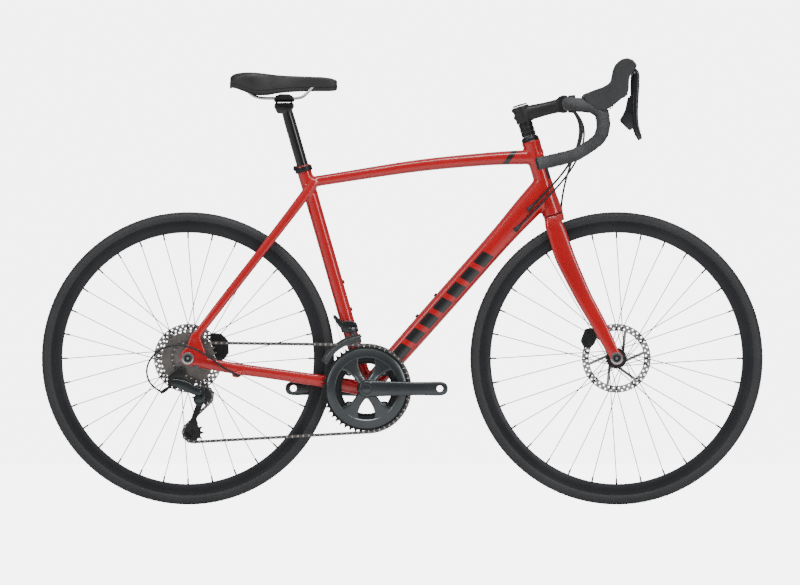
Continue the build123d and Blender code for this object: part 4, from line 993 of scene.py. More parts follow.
def hood_and_lever(label, side):
    """One brake and shift lever: its rubber hood, blade and paddle."""
    y = side * bar_wide
    side_view = [(0.4161, 0.9500), (0.4398, 0.9594), (0.4634, 0.9677), (0.4776, 0.9760), (0.4855, 0.9866),
                 (0.4875, 0.9985),
                 (0.4900, 1.0103), (0.4960, 1.0240), (0.5068, 1.0318), (0.5202, 1.0350), (0.5330, 1.0303),
                 (0.5426, 1.0190),
                 (0.5400, 1.0103), (0.5325, 1.0020), (0.5265, 0.9938), (0.5240, 0.9819), (0.5236, 0.9653),
                 (0.5200, 0.9480),
                 (0.5100, 0.9440), (0.5037, 0.9378), (0.4895, 0.9272), (0.4753, 0.9178), (0.4690, 0.9115),
                 (0.4540, 0.9140),
                 (0.4398, 0.9235), (0.4260, 0.9330)]
    core = slab("core", side_view, y - 0.0165, y + 0.0165, hood_rubber, bevel=0.0)
    slot_cut = slab("slot_cut", [(0.519, 0.940), (0.520, 0.966), (0.523, 0.990), (0.530, 1.012),
                                 (0.560, 1.012), (0.560, 0.940)], y - 0.009, y + 0.009,
                    hood_rubber, bevel=0.0)
    cut(core, slot_cut)
    hood = weld("hood_" + label, [core], 0.0015, 14)
    rib_parts = [hood]
    for step in range(6):
        spot = Vector((0.480 + 0.0052 * step, y, 0.9172 + 0.0054 * step))
        rib_parts.append(lathe("rib", spot - Vector((0, 0.009, 0)), Vector((0, 1, 0)),
                               [(0.0, 0.0), (0.001, 0.0018), (0.017, 0.0018), (0.018, 0.0)], hood_rubber,
                               ring=10, smooth=True))
    for far in (-1, 1):
        rib_parts.append(lathe("cover_screw", Vector((0.5195, y + far * 0.0140, 0.973)), Vector((0, far, 0)),
                               [(-0.004, 0.0), (-0.004, 0.0036), (0.0010, 0.0036), (0.0014, 0.0030),
                                (0.0014, 0.0)], bright_steel, ring=20))
    hood = join("hood_" + label + "_moulded", rib_parts)
    fit(hood, "steering", "hood_" + label)
    blade_rows = [(0.5350, 1.0085, 0.013, 0.010), (0.5400, 0.9980, 0.0135, 0.016),
                  (0.5395, 0.9750, 0.0130, 0.017),
                  (0.5385, 0.9450, 0.0125, 0.0145), (0.5380, 0.9100, 0.0120, 0.0125),
                  (0.5400, 0.8830, 0.0115, 0.0110),
                  (0.5450, 0.8640, 0.0110, 0.0095), (0.5500, 0.8520, 0.0095, 0.0070),
                  (0.5520, 0.8470, 0.006, 0.004)]
    blade = loft("blade", [(x, y, z, wide, deep) for x, z, wide, deep in blade_rows], lever_black, square=2.9,
                 steps=5, ring=28)
    fit(blade, "lever_" + label, "brake_lever_" + label)
    edge = loft("blade_edge_" + label, [(x + deep * 0.5, y, z, wide * 0.55, 0.0016) for x, z, wide,
                                        deep in blade_rows[2:-1]],
                lever_edge, square=2.2, steps=4, ring=12)
    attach(edge, "lever_" + label)
    badge = lathe("pivot_" + label, Vector((0.5365, y - 0.0072, 1.001)), Vector((0, 1, 0)),
                  [(0.0, 0.0), (0.0, 0.0026), (0.0005, 0.0030), (0.0139, 0.0030), (0.0144, 0.0026),
                   (0.0144, 0.0)], bright_steel, ring=24)
    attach(badge, "lever_" + label)
    paddle_side = [(0.5305, 0.948), (0.5325, 0.940), (0.5335, 0.905), (0.5345, 0.872), (0.5290, 0.870),
                   (0.5200, 0.878),
                   (0.5075, 0.8905), (0.5065, 0.8955), (0.5125, 0.905), (0.5190, 0.918), (0.5225, 0.935),
                   (0.5250, 0.947)]
    paddle = slab("paddle_" + label + "_pressed", paddle_side, y - 0.0021, y + 0.0021, lever_black,
                  bevel=0.0008, segments=3)
    fit(paddle, "paddle_" + label, "shift_paddle_" + label)


hood_and_lever("right", -1)
hood_and_lever("left", 1)


# ---- The drivetrain
# A hollow-look forged crank with its spider run into a wide bevelled outer ring, a small inner ring, a
# cassette of pressed steel cogs, two toothed resin pulleys and a half-inch roller chain.
crank_grey = finish("crank_anthracite", (0.046, 0.053, 0.057), (0.085, 0.094, 0.098), 0.26, metallic=0.75,
                    coat=0.35, speckle=1800, bump=0.04)
ring_black = finish("ring_black", (0.014, 0.015, 0.016), (0.028, 0.029, 0.031), 0.36, metallic=0.6,
                    speckle=1500, bump=0.05)
cog_nickel = finish("cog_nickel", (0.22, 0.20, 0.19), (0.40, 0.38, 0.37), 0.30, metallic=1.0, speckle=420,
                    bump=0.08)
pulley_resin = finish("pulley_resin", (0.012, 0.012, 0.013), (0.022, 0.022, 0.024), 0.5, speckle=900,
                      bump=0.1)
for node, material in (("cassette", cog_nickel), ("chainring_outer", ring_black),
                       ("chainring_inner", ring_black),
                       ("chainring_bolts", bright_steel), ("guide_pulley", pulley_resin),
                       ("tension_pulley", pulley_resin),
                       ("headset_and_crank_bearings", black_alloy), ("bottle_cage_bolts", black_alloy)):
    dress(node, material)


def crank_arm_rows(way, y):
    """The arm's stations from the boss to the pedal eye: x, y, z, depth in z and thickness across."""
    rows = [(0.000, 0.036, 0.013), (0.022, 0.037, 0.0135), (0.050, 0.0350, 0.0135), (0.080, 0.0325, 0.0130),
            (0.115, 0.0315, 0.0125), (0.145, 0.0320, 0.0120), (0.166, 0.0330, 0.0120),
            (0.1785, 0.0300, 0.0115),
            (0.1855, 0.0210, 0.0108), (0.1885, 0.0090, 0.0100)]
    return [(crank_axle.x + way * far, y, crank_axle.z, thick, deep) for far, deep, thick in rows]


def drum(name, centre, y_low, y_high, radius, material, hole=0.0, edge=0.0008, ring=64):
    """A disc or ring across the bicycle with chamfered edges."""
    outline = [(y_low, hole), (y_low, radius - edge), (y_low + edge, radius), (y_high - edge, radius),
               (y_high, radius - edge), (y_high, hole)]
    if hole:
        outline.append(outline[0])
    return lathe(name, Vector((centre.x, 0, centre.z)), Vector((0, 1, 0)), outline, material, ring=ring)


eye_right = crank_axle + Vector((0.170, 0, 0))
arm = loft("arm", crank_arm_rows(1, -0.0675), crank_grey, steps=5, ring=40, square=3.0)
crank_parts = [arm, drum("boss", crank_axle, -0.0745, -0.046, 0.0195, crank_grey, edge=0.004)]
for angle in (56, 124, 236, 304):
    reach = Vector((math.cos(math.radians(angle)), 0, math.sin(math.radians(angle))))
    crank_parts.append(loft("spider", [(*(crank_axle + reach * r + Vector((0, y, 0))), thick, deep)
                                       for r, y, thick, deep in ((0.004, -0.062, 0.018, 0.030),
                                                                 (0.022, -0.058, 0.016, 0.022),
                                                                 (0.040, -0.0540, 0.011, 0.022),
                                                                 (0.055, -0.0525, 0.0075, 0.030),
                                                                 (0.066, -0.0515, 0.0060, 0.046),
                                                                 (0.074, -0.0510, 0.0050, 0.062))],
                            crank_grey, steps=5, ring=28, square=2.8))
forged = weld("crank_right_forged", crank_parts, 0.0011, 4)
cut(forged, lathe("eye_bore", eye_right, Vector((0, 1, 0)), [(-0.09, 0.0), (-0.09, 0.0074), (-0.04, 0.0074),
                                                             (-0.04, 0.0)], crank_grey, ring=48))
band = lathe("band", crank_axle, Vector((0, 1, 0)),
             [(-0.0500, 0.0710), (-0.0530, 0.0720), (-0.0545, 0.0745), (-0.0540, 0.0800), (-0.0525, 0.0880),
              (-0.0505, 0.0925),
              (-0.0490, 0.0930), (-0.0487, 0.0710), (-0.0500, 0.0710)], crank_grey, ring=128)
spindle = drum("spindle", crank_axle, -0.060, 0.066, 0.0119, bright_steel)
spindle_cap = lathe("spindle_cap", crank_axle + Vector((0, -0.0740, 0)), Vector((0, -1, 0)),
                    [(-0.004, 0.0), (-0.004, 0.0105), (0.0008, 0.0105), (0.0014, 0.0090), (0.0014, 0.0)],
                    crank_grey, ring=48)
eye_ring = lathe("eye_ring", eye_right + Vector((0, -0.0740, 0)), Vector((0, -1, 0)),
                 [(-0.010, 0.0072), (0.0004, 0.0072), (0.0008, 0.0078), (0.0004, 0.0098), (-0.001, 0.0100),
                  (-0.010, 0.0100), (-0.010, 0.0072)],
                 bright_steel, ring=48)
forged_all = join("crank_right_forged", [forged, band, spindle_cap, spindle, eye_ring])
fit(forged_all, "crank", "crank_right")
left_parts = [loft("arm_left", crank_arm_rows(-1, 0.0675), crank_grey, steps=5, ring=40, square=3.0),
              drum("boss_left", crank_axle, 0.040, 0.0745, 0.0195, crank_grey, edge=0.004)]
left_arm = weld("crank_left_forged", left_parts, 0.0013, 4)
cut(left_arm, lathe("eye_bore_left", crank_axle + Vector((-0.170, 0, 0)), Vector((0, 1, 0)),
                    [(0.04, 0.0), (0.04, 0.0074), (0.09, 0.0074), (0.09, 0.0)], crank_grey, ring=48))
fit(left_arm, "crank", "crank_left")

chain_pitch = 0.0127
chain_y = (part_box("guide_pulley")[0][1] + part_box("guide_pulley")[1][1]) / 2


def pitch_radius(teeth):
    """The radius of the pins' circle on a sprocket."""
    return chain_pitch / (2 * math.sin(math.pi / teeth))


def run_between(a, ra, side_a, b, rb, side_b):
    """Where the chain leaves one wheel and meets the next."""
    span = b - a
    heading = math.atan2(span.y, span.x) - math.asin((side_b * rb - side_a * ra) / span.length)
    left = Vector((-math.sin(heading), math.cos(heading)))
    return a - left * side_a * ra, b - left * side_b * rb


def chain_pins():
    """Every pin's place round the ring, the cog and the two pulleys."""
    guide = at("guide_pulley_spin")
    tension = at("tension_pulley_spin")
    wheels = [(Vector((p.x, p.z)), teeth, side) for p, teeth, side in
              ((crank_axle, 50, 1), (rear_axle, 18, 1), (guide, 11, -1), (tension, 11, 1))]
    runs = []
    for (a, na, sa), (b, nb, sb) in zip(wheels, wheels[1:] + wheels[:1]):
        runs.append(run_between(a, pitch_radius(na), sa, b, pitch_radius(nb), sb))
    pins = []
    ahead = 0.0
    for k, (centre, teeth, side) in enumerate(wheels):
        into, out = runs[k - 1][1], runs[k][0]
        first = math.atan2(into.y - centre.y, into.x - centre.x)
        turn = (math.atan2(out.y - centre.y, out.x - centre.x) - first) * side % (2 * math.pi) * side
        links = abs(turn) * teeth / (2 * math.pi)
        while ahead < links:
            angle = first + turn * ahead / links
            pins.append(centre + Vector((math.cos(angle), math.sin(angle))) * pitch_radius(teeth))
            ahead += 1
        ahead -= links
        links = (runs[k][1] - out).length / chain_pitch
        while ahead < links:
            pins.append(out.lerp(runs[k][1], ahead / links))
            ahead += 1
        ahead -= links
    if (pins[-1] - pins[0]).length < chain_pitch * 0.5:
        pins.pop()
    return pins


chain_plate = finish("chain_plate_steel", (0.10, 0.095, 0.09), (0.22, 0.21, 0.20), 0.36, metallic=1.0,
                     speckle=800, bump=0.08)
chain_pin = finish("chain_pin_steel", (0.62, 0.61, 0.60), (0.80, 0.79, 0.77), 0.28, metallic=1.0, speckle=900,
                   bump=0.04)


def link_shape(name, y, thick, waist):
    """A figure-of-eight side plate, one pitch long and centred on the origin."""
    outline = []
    for k in range(28):
        turn = 2 * math.pi * k / 28
        x = math.cos(turn)
        end = math.copysign(chain_pitch / 2, x) if abs(x) > 1e-6 else 0
        squeeze = 1 - waist * math.exp(-(x / 0.45) ** 2)
        outline.append((end * min(1.0, abs(x) * 1.6) + 0.0046 * x, 0.0047 * math.sin(turn) * squeeze))
    return slab(name, outline, y - thick / 2, y + thick / 2, chain_plate, bevel=0.00015, segments=1)


def round_bar(name, x, half_long, radius, material, ring=14):
    """A short round bar across the chain."""
    return lathe(name, Vector((x, 0, 0)), Vector((0, 1, 0)),
                 [(-half_long, 0.0), (-half_long, radius * 0.85), (-half_long + radius * 0.15, radius),
                  (half_long - radius * 0.15, radius),
                  (half_long, radius * 0.85), (half_long, 0.0)], material, ring=ring, smooth=True)


def link_tree():
    """A node tree that sets one link at every point, turned by the point's own angle."""
    tree = bpy.data.node_groups.new("chain_links", "GeometryNodeTree")
    tree.interface.new_socket("Geometry", in_out="INPUT", socket_type="NodeSocketGeometry")
    tree.interface.new_socket("Link", in_out="INPUT", socket_type="NodeSocketObject")
    tree.interface.new_socket("Steel", in_out="INPUT", socket_type="NodeSocketMaterial")
    tree.interface.new_socket("Geometry", in_out="OUTPUT", socket_type="NodeSocketGeometry")
    nodes = tree.nodes
    link = tree.links.new
    entry = nodes.new("NodeGroupInput")
    leave = nodes.new("NodeGroupOutput")
    shape = nodes.new("GeometryNodeObjectInfo")
    link(entry.outputs["Link"], shape.inputs["Object"])
    heading = nodes.new("GeometryNodeInputNamedAttribute")
    heading.data_type = "FLOAT"
    heading.inputs["Name"].default_value = "heading"
    turn = nodes.new("ShaderNodeCombineXYZ")
    link(heading.outputs["Attribute"], turn.inputs["Y"])
    place = nodes.new("GeometryNodeInstanceOnPoints")
    link(entry.outputs["Geometry"], place.inputs["Points"])
    link(shape.outputs["Geometry"], place.inputs["Instance"])
    link(turn.outputs["Vector"], place.inputs["Rotation"])
    real = nodes.new("GeometryNodeRealizeInstances")
    link(place.outputs["Instances"], real.inputs["Geometry"])
    coat = nodes.new("GeometryNodeSetMaterial")
    link(real.outputs["Geometry"], coat.inputs["Geometry"])
    link(entry.outputs["Steel"], coat.inputs["Material"])
    link(coat.outputs["Geometry"], leave.inputs["Geometry"])
    return tree


pins = chain_pins()
links_tree = link_tree()


def chain_points(name, first, step, middle):
    """Points at every link's middle, or at every pin, with the chain's heading there."""
    places = []
    headings = []
    for k in range(first, len(pins), step):
        a, b = pins[k], pins[(k + 1) % len(pins)]
        spot = (a + b) / 2 if middle else a
        places.append((spot.x, chain_y, spot.y))
        headings.append(-math.atan2(b.y - a.y, b.x - a.x))
    mesh = bpy.data.meshes.new(name)
    mesh.from_pydata(places, [], [])
    mesh.attributes.new("heading", "FLOAT", "POINT").data.foreach_set("value", headings)
    return mesh


outer_link = join("outer_link", [link_shape("outer_a", -0.0025, 0.0009, 0.32),
                                 link_shape("outer_b", 0.0025, 0.0009, 0.32)])
inner_link = join("inner_link", [link_shape("inner_a", -0.0015, 0.0009, 0.30),
                                 link_shape("inner_b", 0.0015, 0.0009, 0.30)])
pin_shape = round_bar("pin", 0, 0.0033, 0.0022, chain_pin)
roller_shape = round_bar("roller", 0, 0.0011, 0.0037, chain_pin, ring=16)
chain_parts = []
for name, shape, first, step, middle, steel in (("outer", outer_link, 0, 2, True, chain_plate),
                                                ("inner", inner_link, 1, 2, True, chain_plate),
                                                ("pins", pin_shape, 0, 1, False, chain_pin),
                                                ("rollers", roller_shape, 0, 1, False, chain_pin)):
    part = grow("chain_" + name, chain_points(name, first, step, middle), links_tree,
                {"Link": shape, "Steel": steel})
    bpy.data.objects.remove(shape)
    part.data.shade_smooth()
    sharpen(part)
    chain_parts.append(part)
for number, part in enumerate(chain_parts):
    if number == 0:
        fit(part, "frame", "chain")
    else:
        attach(part, "frame")


# ---- The front derailleur
# A clamp on the seat tube carries a hinged cage of two pressed steel plates, and a long arm behind takes
# the bare cable that comes up from under the frame.
mech_grey = finish("mech_grey", (0.030, 0.036, 0.038), (0.055, 0.063, 0.066), 0.24, metallic=0.75, coat=0.3,
                   speckle=1700, bump=0.04)
mech_black = finish("mech_black", (0.010, 0.010, 0.011), (0.020, 0.020, 0.022), 0.34, metallic=0.3,
                    speckle=1600, bump=0.08)
cage_steel = finish("cage_steel", (0.10, 0.11, 0.115), (0.19, 0.20, 0.205), 0.26, metallic=1.0, speckle=700,
                    bump=0.06)
cable_steel = finish("cable_steel", (0.30, 0.30, 0.30), (0.50, 0.50, 0.50), 0.35, metallic=1.0, speckle=3000,
                     bump=0.4)


def crosswise(name, x, z, y_from, y_to, radius, material, dome=0.0006, socket=0.0):
    """A round boss, bolt or pin across the bicycle, with a hexagon socket in its outer end where asked."""
    long = abs(y_to - y_from)
    outline = [(0.0, 0.0), (0.0, radius), (long - dome, radius), (long, radius - dome)]
    outline += [(long, socket), (long - socket * 0.9, socket * 0.95),
                (long - socket * 0.9, 0.0)] if socket else [(long, 0.0)]
    return lathe(name, Vector((x, y_from, z)), Vector((0, math.copysign(1, y_to - y_from), 0)), outline,
                 material, ring=40)


def about_crank(r, angle):
    """The x and z of a point about the crank's axis."""
    turn = math.radians(angle)
    return crank_axle.x + r * math.cos(turn), crank_axle.z + r * math.sin(turn)


fd_band = lathe("fd_band", along_seat(0.412), seat_axis,
                [(-0.0078, 0.0168), (-0.0078, 0.0190), (-0.0070, 0.0196), (0.0070, 0.0196), (0.0078, 0.0190),
                 (0.0078, 0.0168), (-0.0078, 0.0168)],
                mech_grey, ring=64)
fd_parts = [slab("fd_block", [(-0.137, 0.400), (-0.141, 0.422), (-0.131, 0.428), (-0.112, 0.426),
                              (-0.104, 0.418), (-0.101, 0.403), (-0.112, 0.398)],
                 -0.030, -0.015, mech_grey, bevel=0.0022, segments=3),
            slab("fd_arm", [(-0.138, 0.404), (-0.149, 0.416), (-0.1605, 0.434), (-0.1600, 0.440),
                            (-0.1550, 0.441), (-0.140, 0.425), (-0.128, 0.417)],
                 -0.0280, -0.0225, mech_grey, bevel=0.0018, segments=3)]
for low in (-0.124, -0.1075):
    fd_parts.append(lathe("fd_ear", Vector((low, -0.038, 0.408)), Vector((1, 0, 0)),
                          [(0.0, 0.0), (0.0, 0.0045), (0.0005, 0.0050), (0.0040, 0.0050), (0.0045, 0.0045),
                           (0.0045, 0.0)], mech_grey, ring=32))
    fd_parts.append(slab("fd_web", [(low, 0.4035), (low, 0.4125), (low + 0.0045, 0.4125),
                                    (low + 0.0045, 0.4035)], -0.038, -0.0290, mech_grey, bevel=0.0004))
fd_parts.append(crosswise("fd_screw", -0.1575, 0.4375, -0.0275, -0.0305, 0.0034, bright_steel, socket=0.0017))
fd_parts.append(crosswise("fd_clamp_screw", -0.112, 0.4175, -0.029, -0.0325, 0.0032, bright_steel,
                          socket=0.0017))
fd_parts.append(lathe("fd_pin", Vector((-0.124, -0.038, 0.408)), Vector((1, 0, 0)),
                      [(0.0, 0.0), (0.0, 0.002), (0.021, 0.002), (0.021, 0.0)], bright_steel, ring=24))
fit(join("front_derailleur_bolted", [fd_band] + fd_parts), "frame", "front_derailleur_body")


def cage_wing(name, y, r_in, r_out, lip):
    """One curved side plate of the cage, with its rolled edge."""
    steps = 16
    outline = [about_crank(r_out - 0.004 * (k / steps) ** 2, 96 + 52 * k / steps) for k in range(steps + 1)]
    outline += [about_crank(r_in + 0.003 * math.sin(math.pi * k / steps),
                            148 - 52 * k / steps) for k in range(steps + 1)]
    plate = slab(name, outline, y - 0.0006, y + 0.0006, cage_steel, bevel=0.0003, segments=1)
    rim_line = [about_crank(r_out - 0.0022 - 0.004 * (k / 8) ** 2, 97 + 50 * k / 8) for k in range(9)]
    rolled = pipe("rolled", [(x, y + lip, z) for x, z in rim_line], 0.0013, cage_steel, resolution=6)
    return [plate, rolled]


cage_parts = cage_wing("outer_wing", -0.0529, 0.107, 0.1240, -0.0006) + cage_wing("inner_wing", -0.0417,
                                                                                  0.107, 0.128, 0.0006)
tail_x, tail_z = about_crank(0.114, 146)
cage_parts += [crosswise("tail_spacer", tail_x, tail_z, -0.0405, -0.0543, 0.0033, bright_steel),
               crosswise("tail_head", tail_x, tail_z, -0.0536, -0.0560, 0.0050, bright_steel, dome=0.0008,
                         socket=0.0022),
               slab("bridge", [about_crank(r, a) for r, a in ((0.1195, 95), (0.1235, 95), (0.1235, 103),
                                                              (0.1195, 103))], -0.0534, -0.0412,
                    cage_steel, bevel=0.0008),
               slab("tongue", [(-0.100, 0.386), (-0.1098, 0.399), (-0.1098, 0.4075), (-0.1172, 0.4075),
                               (-0.1175, 0.388)], -0.0422, -0.0404,
                    cage_steel, bevel=0.0005),
               lathe("barrel", Vector((-0.1180, -0.038, 0.408)), Vector((1, 0, 0)),
                     [(0.0, 0.0), (0.0, 0.0040), (0.0006, 0.0046), (0.0084, 0.0046), (0.0090, 0.0040),
                      (0.0090, 0.0)], mech_grey, ring=32)]
fit(join("front_cage_pressed", cage_parts), "front_derailleur", "front_derailleur_cage")
lift_cable = pipe("front_lift_cable", [(-0.1575, -0.0290, 0.4375), (-0.1475, -0.0280, 0.400),
                                       (-0.1375, -0.0255, 0.362), (-0.1285, -0.0205, 0.326),
                                       (-0.1215, -0.0140, 0.296)], 0.0007, cable_steel)
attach(lift_cable, "frame")


# ---- The rear derailleur
# A knuckle bolted under the axle, a wide painted outer link and a thin inner one, a second knuckle, and
# a sprung cage of two plates that holds the pulleys. The housing ends in a knurled adjuster.
mount_parts = [crosswise("hanger_boss", -0.512, 0.309, -0.0792, -0.1040, 0.0112, mech_black),
               slab("knuckle_arm", [(-0.500, 0.304), (-0.504, 0.315), (-0.516, 0.319), (-0.527, 0.311),
                                    (-0.5405, 0.300), (-0.5435, 0.288),
                                    (-0.5425, 0.2705), (-0.520, 0.2700), (-0.5205, 0.2725), (-0.5345, 0.2732),
                                    (-0.5350, 0.2955), (-0.506, 0.2965)],
                    -0.1060, -0.0842, mech_black, bevel=0.0020, segments=3)]
for y in (-0.08925, -0.10025):
    mount_parts.append(lathe("link_pin", Vector((-0.527, y, 0.2700)), Vector((0, 0, 1)),
                             [(0.0, 0.0), (0.0, 0.0024), (0.0275, 0.0024), (0.0275, 0.0)],
                             bright_steel, ring=24))
barrel_at = Vector((-0.5565, -0.0970, 0.2618))
barrel_way = Vector((0.020, 0.001, 0.014)).normalized()
barrel_outline = [(-0.004, 0.0), (-0.004, 0.0031), (0.0, 0.0034), (0.0010, 0.0048)]
for rib in range(5):
    barrel_outline += [(0.0016 + rib * 0.0024, 0.0049), (0.0022 + rib * 0.0024, 0.0041),
                       (0.0030 + rib * 0.0024, 0.0041)]
barrel_outline += [(0.0140, 0.0048), (0.0150, 0.0034), (0.0245, 0.0034), (0.0245, 0.0)]
mount_parts.append(lathe("adjuster", barrel_at, barrel_way, barrel_outline, mech_black, ring=40))
mount_parts.append(crosswise("hanger_bolt", -0.512, 0.309, -0.1035, -0.1062, 0.0074, bright_steel,
                             dome=0.0008, socket=0.0030))
fit(join("rear_mount_forged", mount_parts), "frame", "rear_derailleur_mount")

wing_rows = [(-0.5378, -0.1003, 0.2842, 0.0080, 0.0110), (-0.5330, -0.1003, 0.2842, 0.0105, 0.0185),
             (-0.515, -0.1005, 0.2812, 0.0112, 0.0210),
             (-0.498, -0.1008, 0.2745, 0.0105, 0.0225), (-0.483, -0.1005, 0.2668, 0.0108, 0.0205),
             (-0.4700, -0.1003, 0.2626, 0.0108, 0.0186),
             (-0.4650, -0.1003, 0.2624, 0.0080, 0.0110)]
wing = loft("outer_link_painted", wing_rows, mech_grey, steps=5, ring=36, square=3.4)
fit(wing, "outer_link", "rear_derailleur_outer_link")
inner_rows = [(x, -0.08925, z, wide * 0.62, deep * 0.72) for x, y, z, wide, deep in wing_rows]
inner_wing = loft("inner_link_cast", inner_rows, mech_black, steps=4, ring=24, square=3.0)
fit(inner_wing, "inner_link", "rear_derailleur_inner_link")

knuckle_parts = [slab("knuckle_side", [(-0.4800, 0.2512), (-0.4800, 0.2420), (-0.4750, 0.2375),
                                       (-0.4650, 0.2375), (-0.4585, 0.2430), (-0.4555, 0.2560),
                                       (-0.4570, 0.2700), (-0.4610, 0.2775), (-0.4785, 0.2772),
                                       (-0.4785, 0.2738), (-0.4642, 0.2738),
                                       (-0.4642, 0.2512)], -0.1060, -0.0842, mech_grey, bevel=0.0018,
                      segments=3),
                 crosswise("spring_case", -0.470, 0.244, -0.0552, -0.0846, 0.0138, mech_grey, dome=0.0018),
                 crosswise("cage_pin", -0.470, 0.244, -0.0516, -0.0600, 0.0040, bright_steel)]
for y in (-0.08925, -0.10025):
    knuckle_parts.append(lathe("knuckle_pin", Vector((-0.470, y, 0.2472)), Vector((0, 0, 1)),
                               [(0.0, 0.0), (0.0, 0.0024), (0.0290, 0.0024), (0.0290, 0.0)],
                               bright_steel, ring=24))
fit(join("rear_knuckle_cast", knuckle_parts), "knuckle", "rear_derailleur_knuckle")

guide_axle = at("guide_pulley_spin")
tension_axle = at("tension_pulley_spin")
cage_axle = at("cage_swing")


def hull_outline(circles, points=18):
    """The rounded outline that goes round a few circles."""
    dots = []
    for x, z, r in circles:
        dots += [(x + r * math.cos(2 * math.pi * k / points),
                  z + r * math.sin(2 * math.pi * k / points)) for k in range(points)]
    dots = sorted(set(dots))
    chains = []
    for run in (dots, dots[::-1]):
        chain = []
        for dot in run:
            while len(chain) > 1 and ((chain[-1][0] - chain[-2][0]) * (dot[1] - chain[-2][1])
                                      - (chain[-1][1] - chain[-2][1]) * (dot[0] - chain[-2][0])) <= 1e-12:
                chain.pop()
            chain.append(dot)
        chains += chain[:-1]
    return chains


cage_pieces = []
neck = (guide_axle.x - 0.021, guide_axle.z - 0.052)
for y, grown in ((-0.0533, 0.0), (-0.0413, 0.0004)):
    lobes = [[(cage_axle.x, cage_axle.z, 0.0098), (guide_axle.x, guide_axle.z, 0.0092)],
             [(guide_axle.x, guide_axle.z, 0.0088), (neck[0], neck[1], 0.0062)],
             [(neck[0], neck[1], 0.0062), (tension_axle.x - 0.0120, tension_axle.z - 0.0030, 0.0085),
              (tension_axle.x + 0.0070, tension_axle.z + 0.0020, 0.0085),
              (tension_axle.x - 0.001, tension_axle.z - 0.0050, 0.0080)]]
    plates = [slab("lobe", hull_outline(circles), y - 0.0010 - grown * k / 4, y + 0.0010 + grown * k / 4,
                   mech_black, bevel=0.0)
              for k, circles in enumerate(lobes)]
    for other in plates[1:]:
        union = plates[0].modifiers.new("union", "BOOLEAN")
        union.operation = "UNION"
        union.object = other
        union.solver = "EXACT"
        apply_modifiers(plates[0])
        bpy.data.objects.remove(other)
    window = slab("window", hull_outline([(tension_axle.x - 0.0135, tension_axle.z - 0.0010, 0.0034),
                                          (tension_axle.x - 0.0040, tension_axle.z - 0.0085, 0.0028)]),
                  y - 0.01, y + 0.01, mech_black, bevel=0.0)
    cut(plates[0], window)
    edge = plates[0].modifiers.new("edge", "BEVEL")
    edge.width = 0.0004
    edge.segments = 2
    edge.angle_limit = math.radians(40)
    apply_modifiers(plates[0])
    sharpen(plates[0])
    cage_pieces.append(plates[0])
for axle in (guide_axle, tension_axle):
    cage_pieces.append(crosswise("pulley_axle", axle.x, axle.z, -0.0405, -0.0543, 0.0030, bright_steel))
    cage_pieces.append(crosswise("pulley_bolt", axle.x, axle.z, -0.0543, -0.0560, 0.0046, bright_steel,
                                 dome=0.0006, socket=0.0019))
    cage_pieces.append(crosswise("pulley_cap", axle.x, axle.z, -0.0540, -0.0548, 0.0075, mech_black,
                                 dome=0.0004))
fit(join("rear_cage_stamped", cage_pieces), "pulley_cage", "rear_derailleur_cage")


# ---- The brakes
# A forged calliper on the left side of each wheel, bolted to its stay or fork leg, straddles the rotor.
# Hoses and cable housings leave the bar tape and run down to the frame and the fork.
caliper_black = finish("caliper_black", (0.014, 0.015, 0.016), (0.028, 0.030, 0.031), 0.36, metallic=0.45,
                       speckle=1700, bump=0.1)


def caliper(label, body, outline, rotor_y, bolts, pot, hose_at):
    """A calliper: its forged body, the slot for the rotor, two bolts and a hose fitting."""
    low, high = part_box(label + "_brake_caliper")
    block = slab("block", outline, low[1] + 0.0006, high[1] - 0.0006, caliper_black, bevel=0.0028, segments=3)
    for y_from, y_to in ((rotor_y - 0.006, low[1] + 0.0001), (rotor_y + 0.006, high[1] - 0.0001)):
        block = join("block", [block, crosswise("pot", pot[0], pot[1], y_from, y_to, 0.0105, caliper_black,
                                                dome=0.0016)])
    forged = weld("forged", [block], 0.0011, 2)
    axle, first, last = (front_axle, 90, 201) if body == "steering" else (rear_axle, -30, 91)
    slot_r, slot_half = 0.0835, 0.0066
    sweep = [math.radians(a) for a in range(first, last, 6)]
    cut(forged, slab("slot", [(axle.x, 0.340)] + [(axle.x + slot_r * math.cos(a),
                                                   0.340 + slot_r * math.sin(a)) for a in sweep],
                     rotor_y - slot_half, rotor_y + slot_half, caliper_black, bevel=0.0))
    sharpen(forged, 50)
    parts = [forged]
    for x, z in bolts:
        parts.append(crosswise("bolt", x, z, low[1] + 0.006, low[1] - 0.0004, 0.0045, bright_steel,
                               dome=0.0008, socket=0.0022))
    parts.append(crosswise("banjo", hose_at[0], hose_at[1], high[1] - 0.008, high[1] - 0.0001, 0.0046,
                           bright_steel, dome=0.0008, socket=0.0020))
    fit(join(label + "_caliper_forged", parts), body, label + "_brake_caliper")


caliper("front", "steering", [(0.424, 0.408), (0.440, 0.4115), (0.450, 0.402), (0.4515, 0.390),
                              (0.447, 0.374), (0.436, 0.363), (0.421, 0.365),
                              (0.4135, 0.380)], 0.037, [(0.434, 0.399), (0.427, 0.378)], (0.4380, 0.3815),
        (0.427, 0.4015))
caliper("rear", "frame", [(-0.445, 0.399), (-0.420, 0.3975), (-0.404, 0.381), (-0.4025, 0.352),
                          (-0.414, 0.3365), (-0.429, 0.3345), (-0.4385, 0.350),
                          (-0.4430, 0.372)], 0.0555, [(-0.424, 0.388), (-0.414, 0.358)], (-0.4290, 0.3700),
        (-0.4365, 0.3905))

hose_black = finish("hose_black", (0.008, 0.008, 0.009), (0.016, 0.016, 0.017), 0.38, speckle=2600, bump=0.1)


def in_metres(points):
    """A route's points, given in millimetres."""
    return [tuple(value / 1000 for value in point) for point in points]


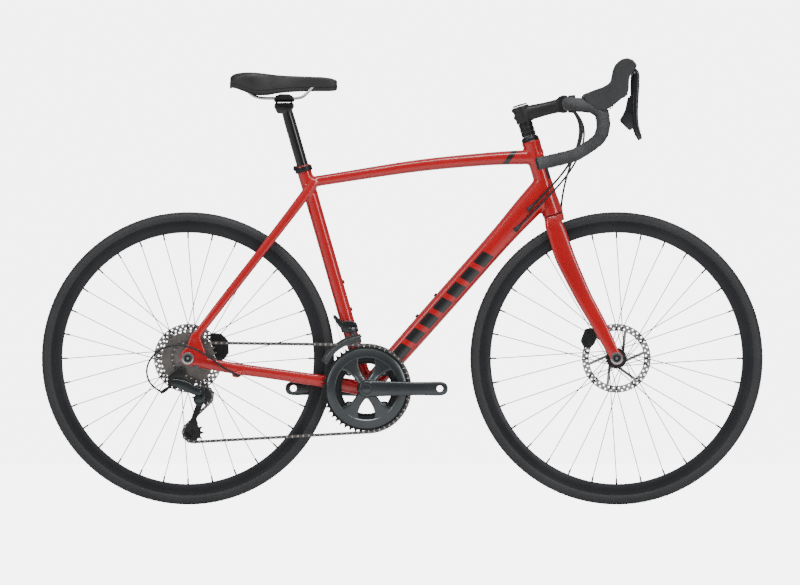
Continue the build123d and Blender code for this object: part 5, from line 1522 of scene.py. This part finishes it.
rear_loop = in_metres([(-384, -76, 302), (-412, -80, 316), (-440, -84, 338), (-470, -90, 358),
                       (-505, -95, 371), (-543, -98, 370), (-575, -99, 352),
                       (-593, -99, 321), (-590, -99, 291), (-573, -98, 270), (-556, -97, 262)])
front_hose = in_metres([(394, 84, 918), (408, 62, 900), (414, 40, 866), (404, 22, 824), (386, 11, 778),
                        (374, 14, 732), (368, 30, 688), (369, 46, 650),
                        (373, 42, 612)])
rear_hose = in_metres([(394, -84, 918), (410, -66, 898), (416, -50, 862), (404, -38, 818), (372, -29, 768),
                       (330, -26.5, 722), (294, -25.6, 686)])
left_housing = in_metres([(394, 96, 918), (412, 74, 899), (420, 54, 864), (408, 40, 820), (374, 30.5, 770),
                          (330, 27, 722), (290, 25.4, 680)])
right_housing = in_metres([(394, -96, 918), (414, -78, 898), (424, -60, 860), (412, -46, 812),
                           (380, -36, 760), (336, -32.5, 712), (296, -30, 671),
                           (264, -25.4, 639)])
hose_r = 0.0025
housing_r = 0.0023
gear_loop = pipe("rear_housing_loop", rear_loop, housing_r, hose_black, resolution=16)
fit(gear_loop, "frame", "rear_shift_housing")
ferrule = lathe("stay_ferrule", Vector((-0.3765, -0.0745, 0.2985)), Vector((-0.0275, -0.0040, 0.0140)),
                [(0.0, 0.0), (0.0, 0.0034), (0.011, 0.0034), (0.012, 0.0028), (0.012, 0.0)], mech_black,
                ring=28)
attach(ferrule, "frame")
front_line = pipe("front_brake_line", front_hose, hose_r, hose_black, resolution=16)
fit(front_line, "steering", "front_brake_hose")
crossing = [("rear_brake_line", rear_hose, hose_r, "rear_brake_hose"),
            ("left_shift_line", left_housing, housing_r, "shift_housings"),
            ("right_shift_line", right_housing, housing_r, "shift_housings")]
for name, route, radius, node in crossing:
    line = pipe(name, route, radius, hose_black, resolution=16)
    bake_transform(line)
    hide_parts(node)
    tip = Vector(route[-1])
    way = (Vector(route[-2]) - tip).normalized()
    boot = lathe(name + "_boot", tip - way * 0.004, way, [(0.0, 0.0), (0.0, 0.0062), (0.004, 0.0058),
                                                          (0.010, 0.0040), (0.017, 0.0033), (0.017, 0.0)],
                 rubber, ring=32, smooth=True)
    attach(boot, "frame")
for node in ("front_pad_left", "front_pad_right", "rear_pad_left", "rear_pad_right"):
    dress(node, caliper_black)
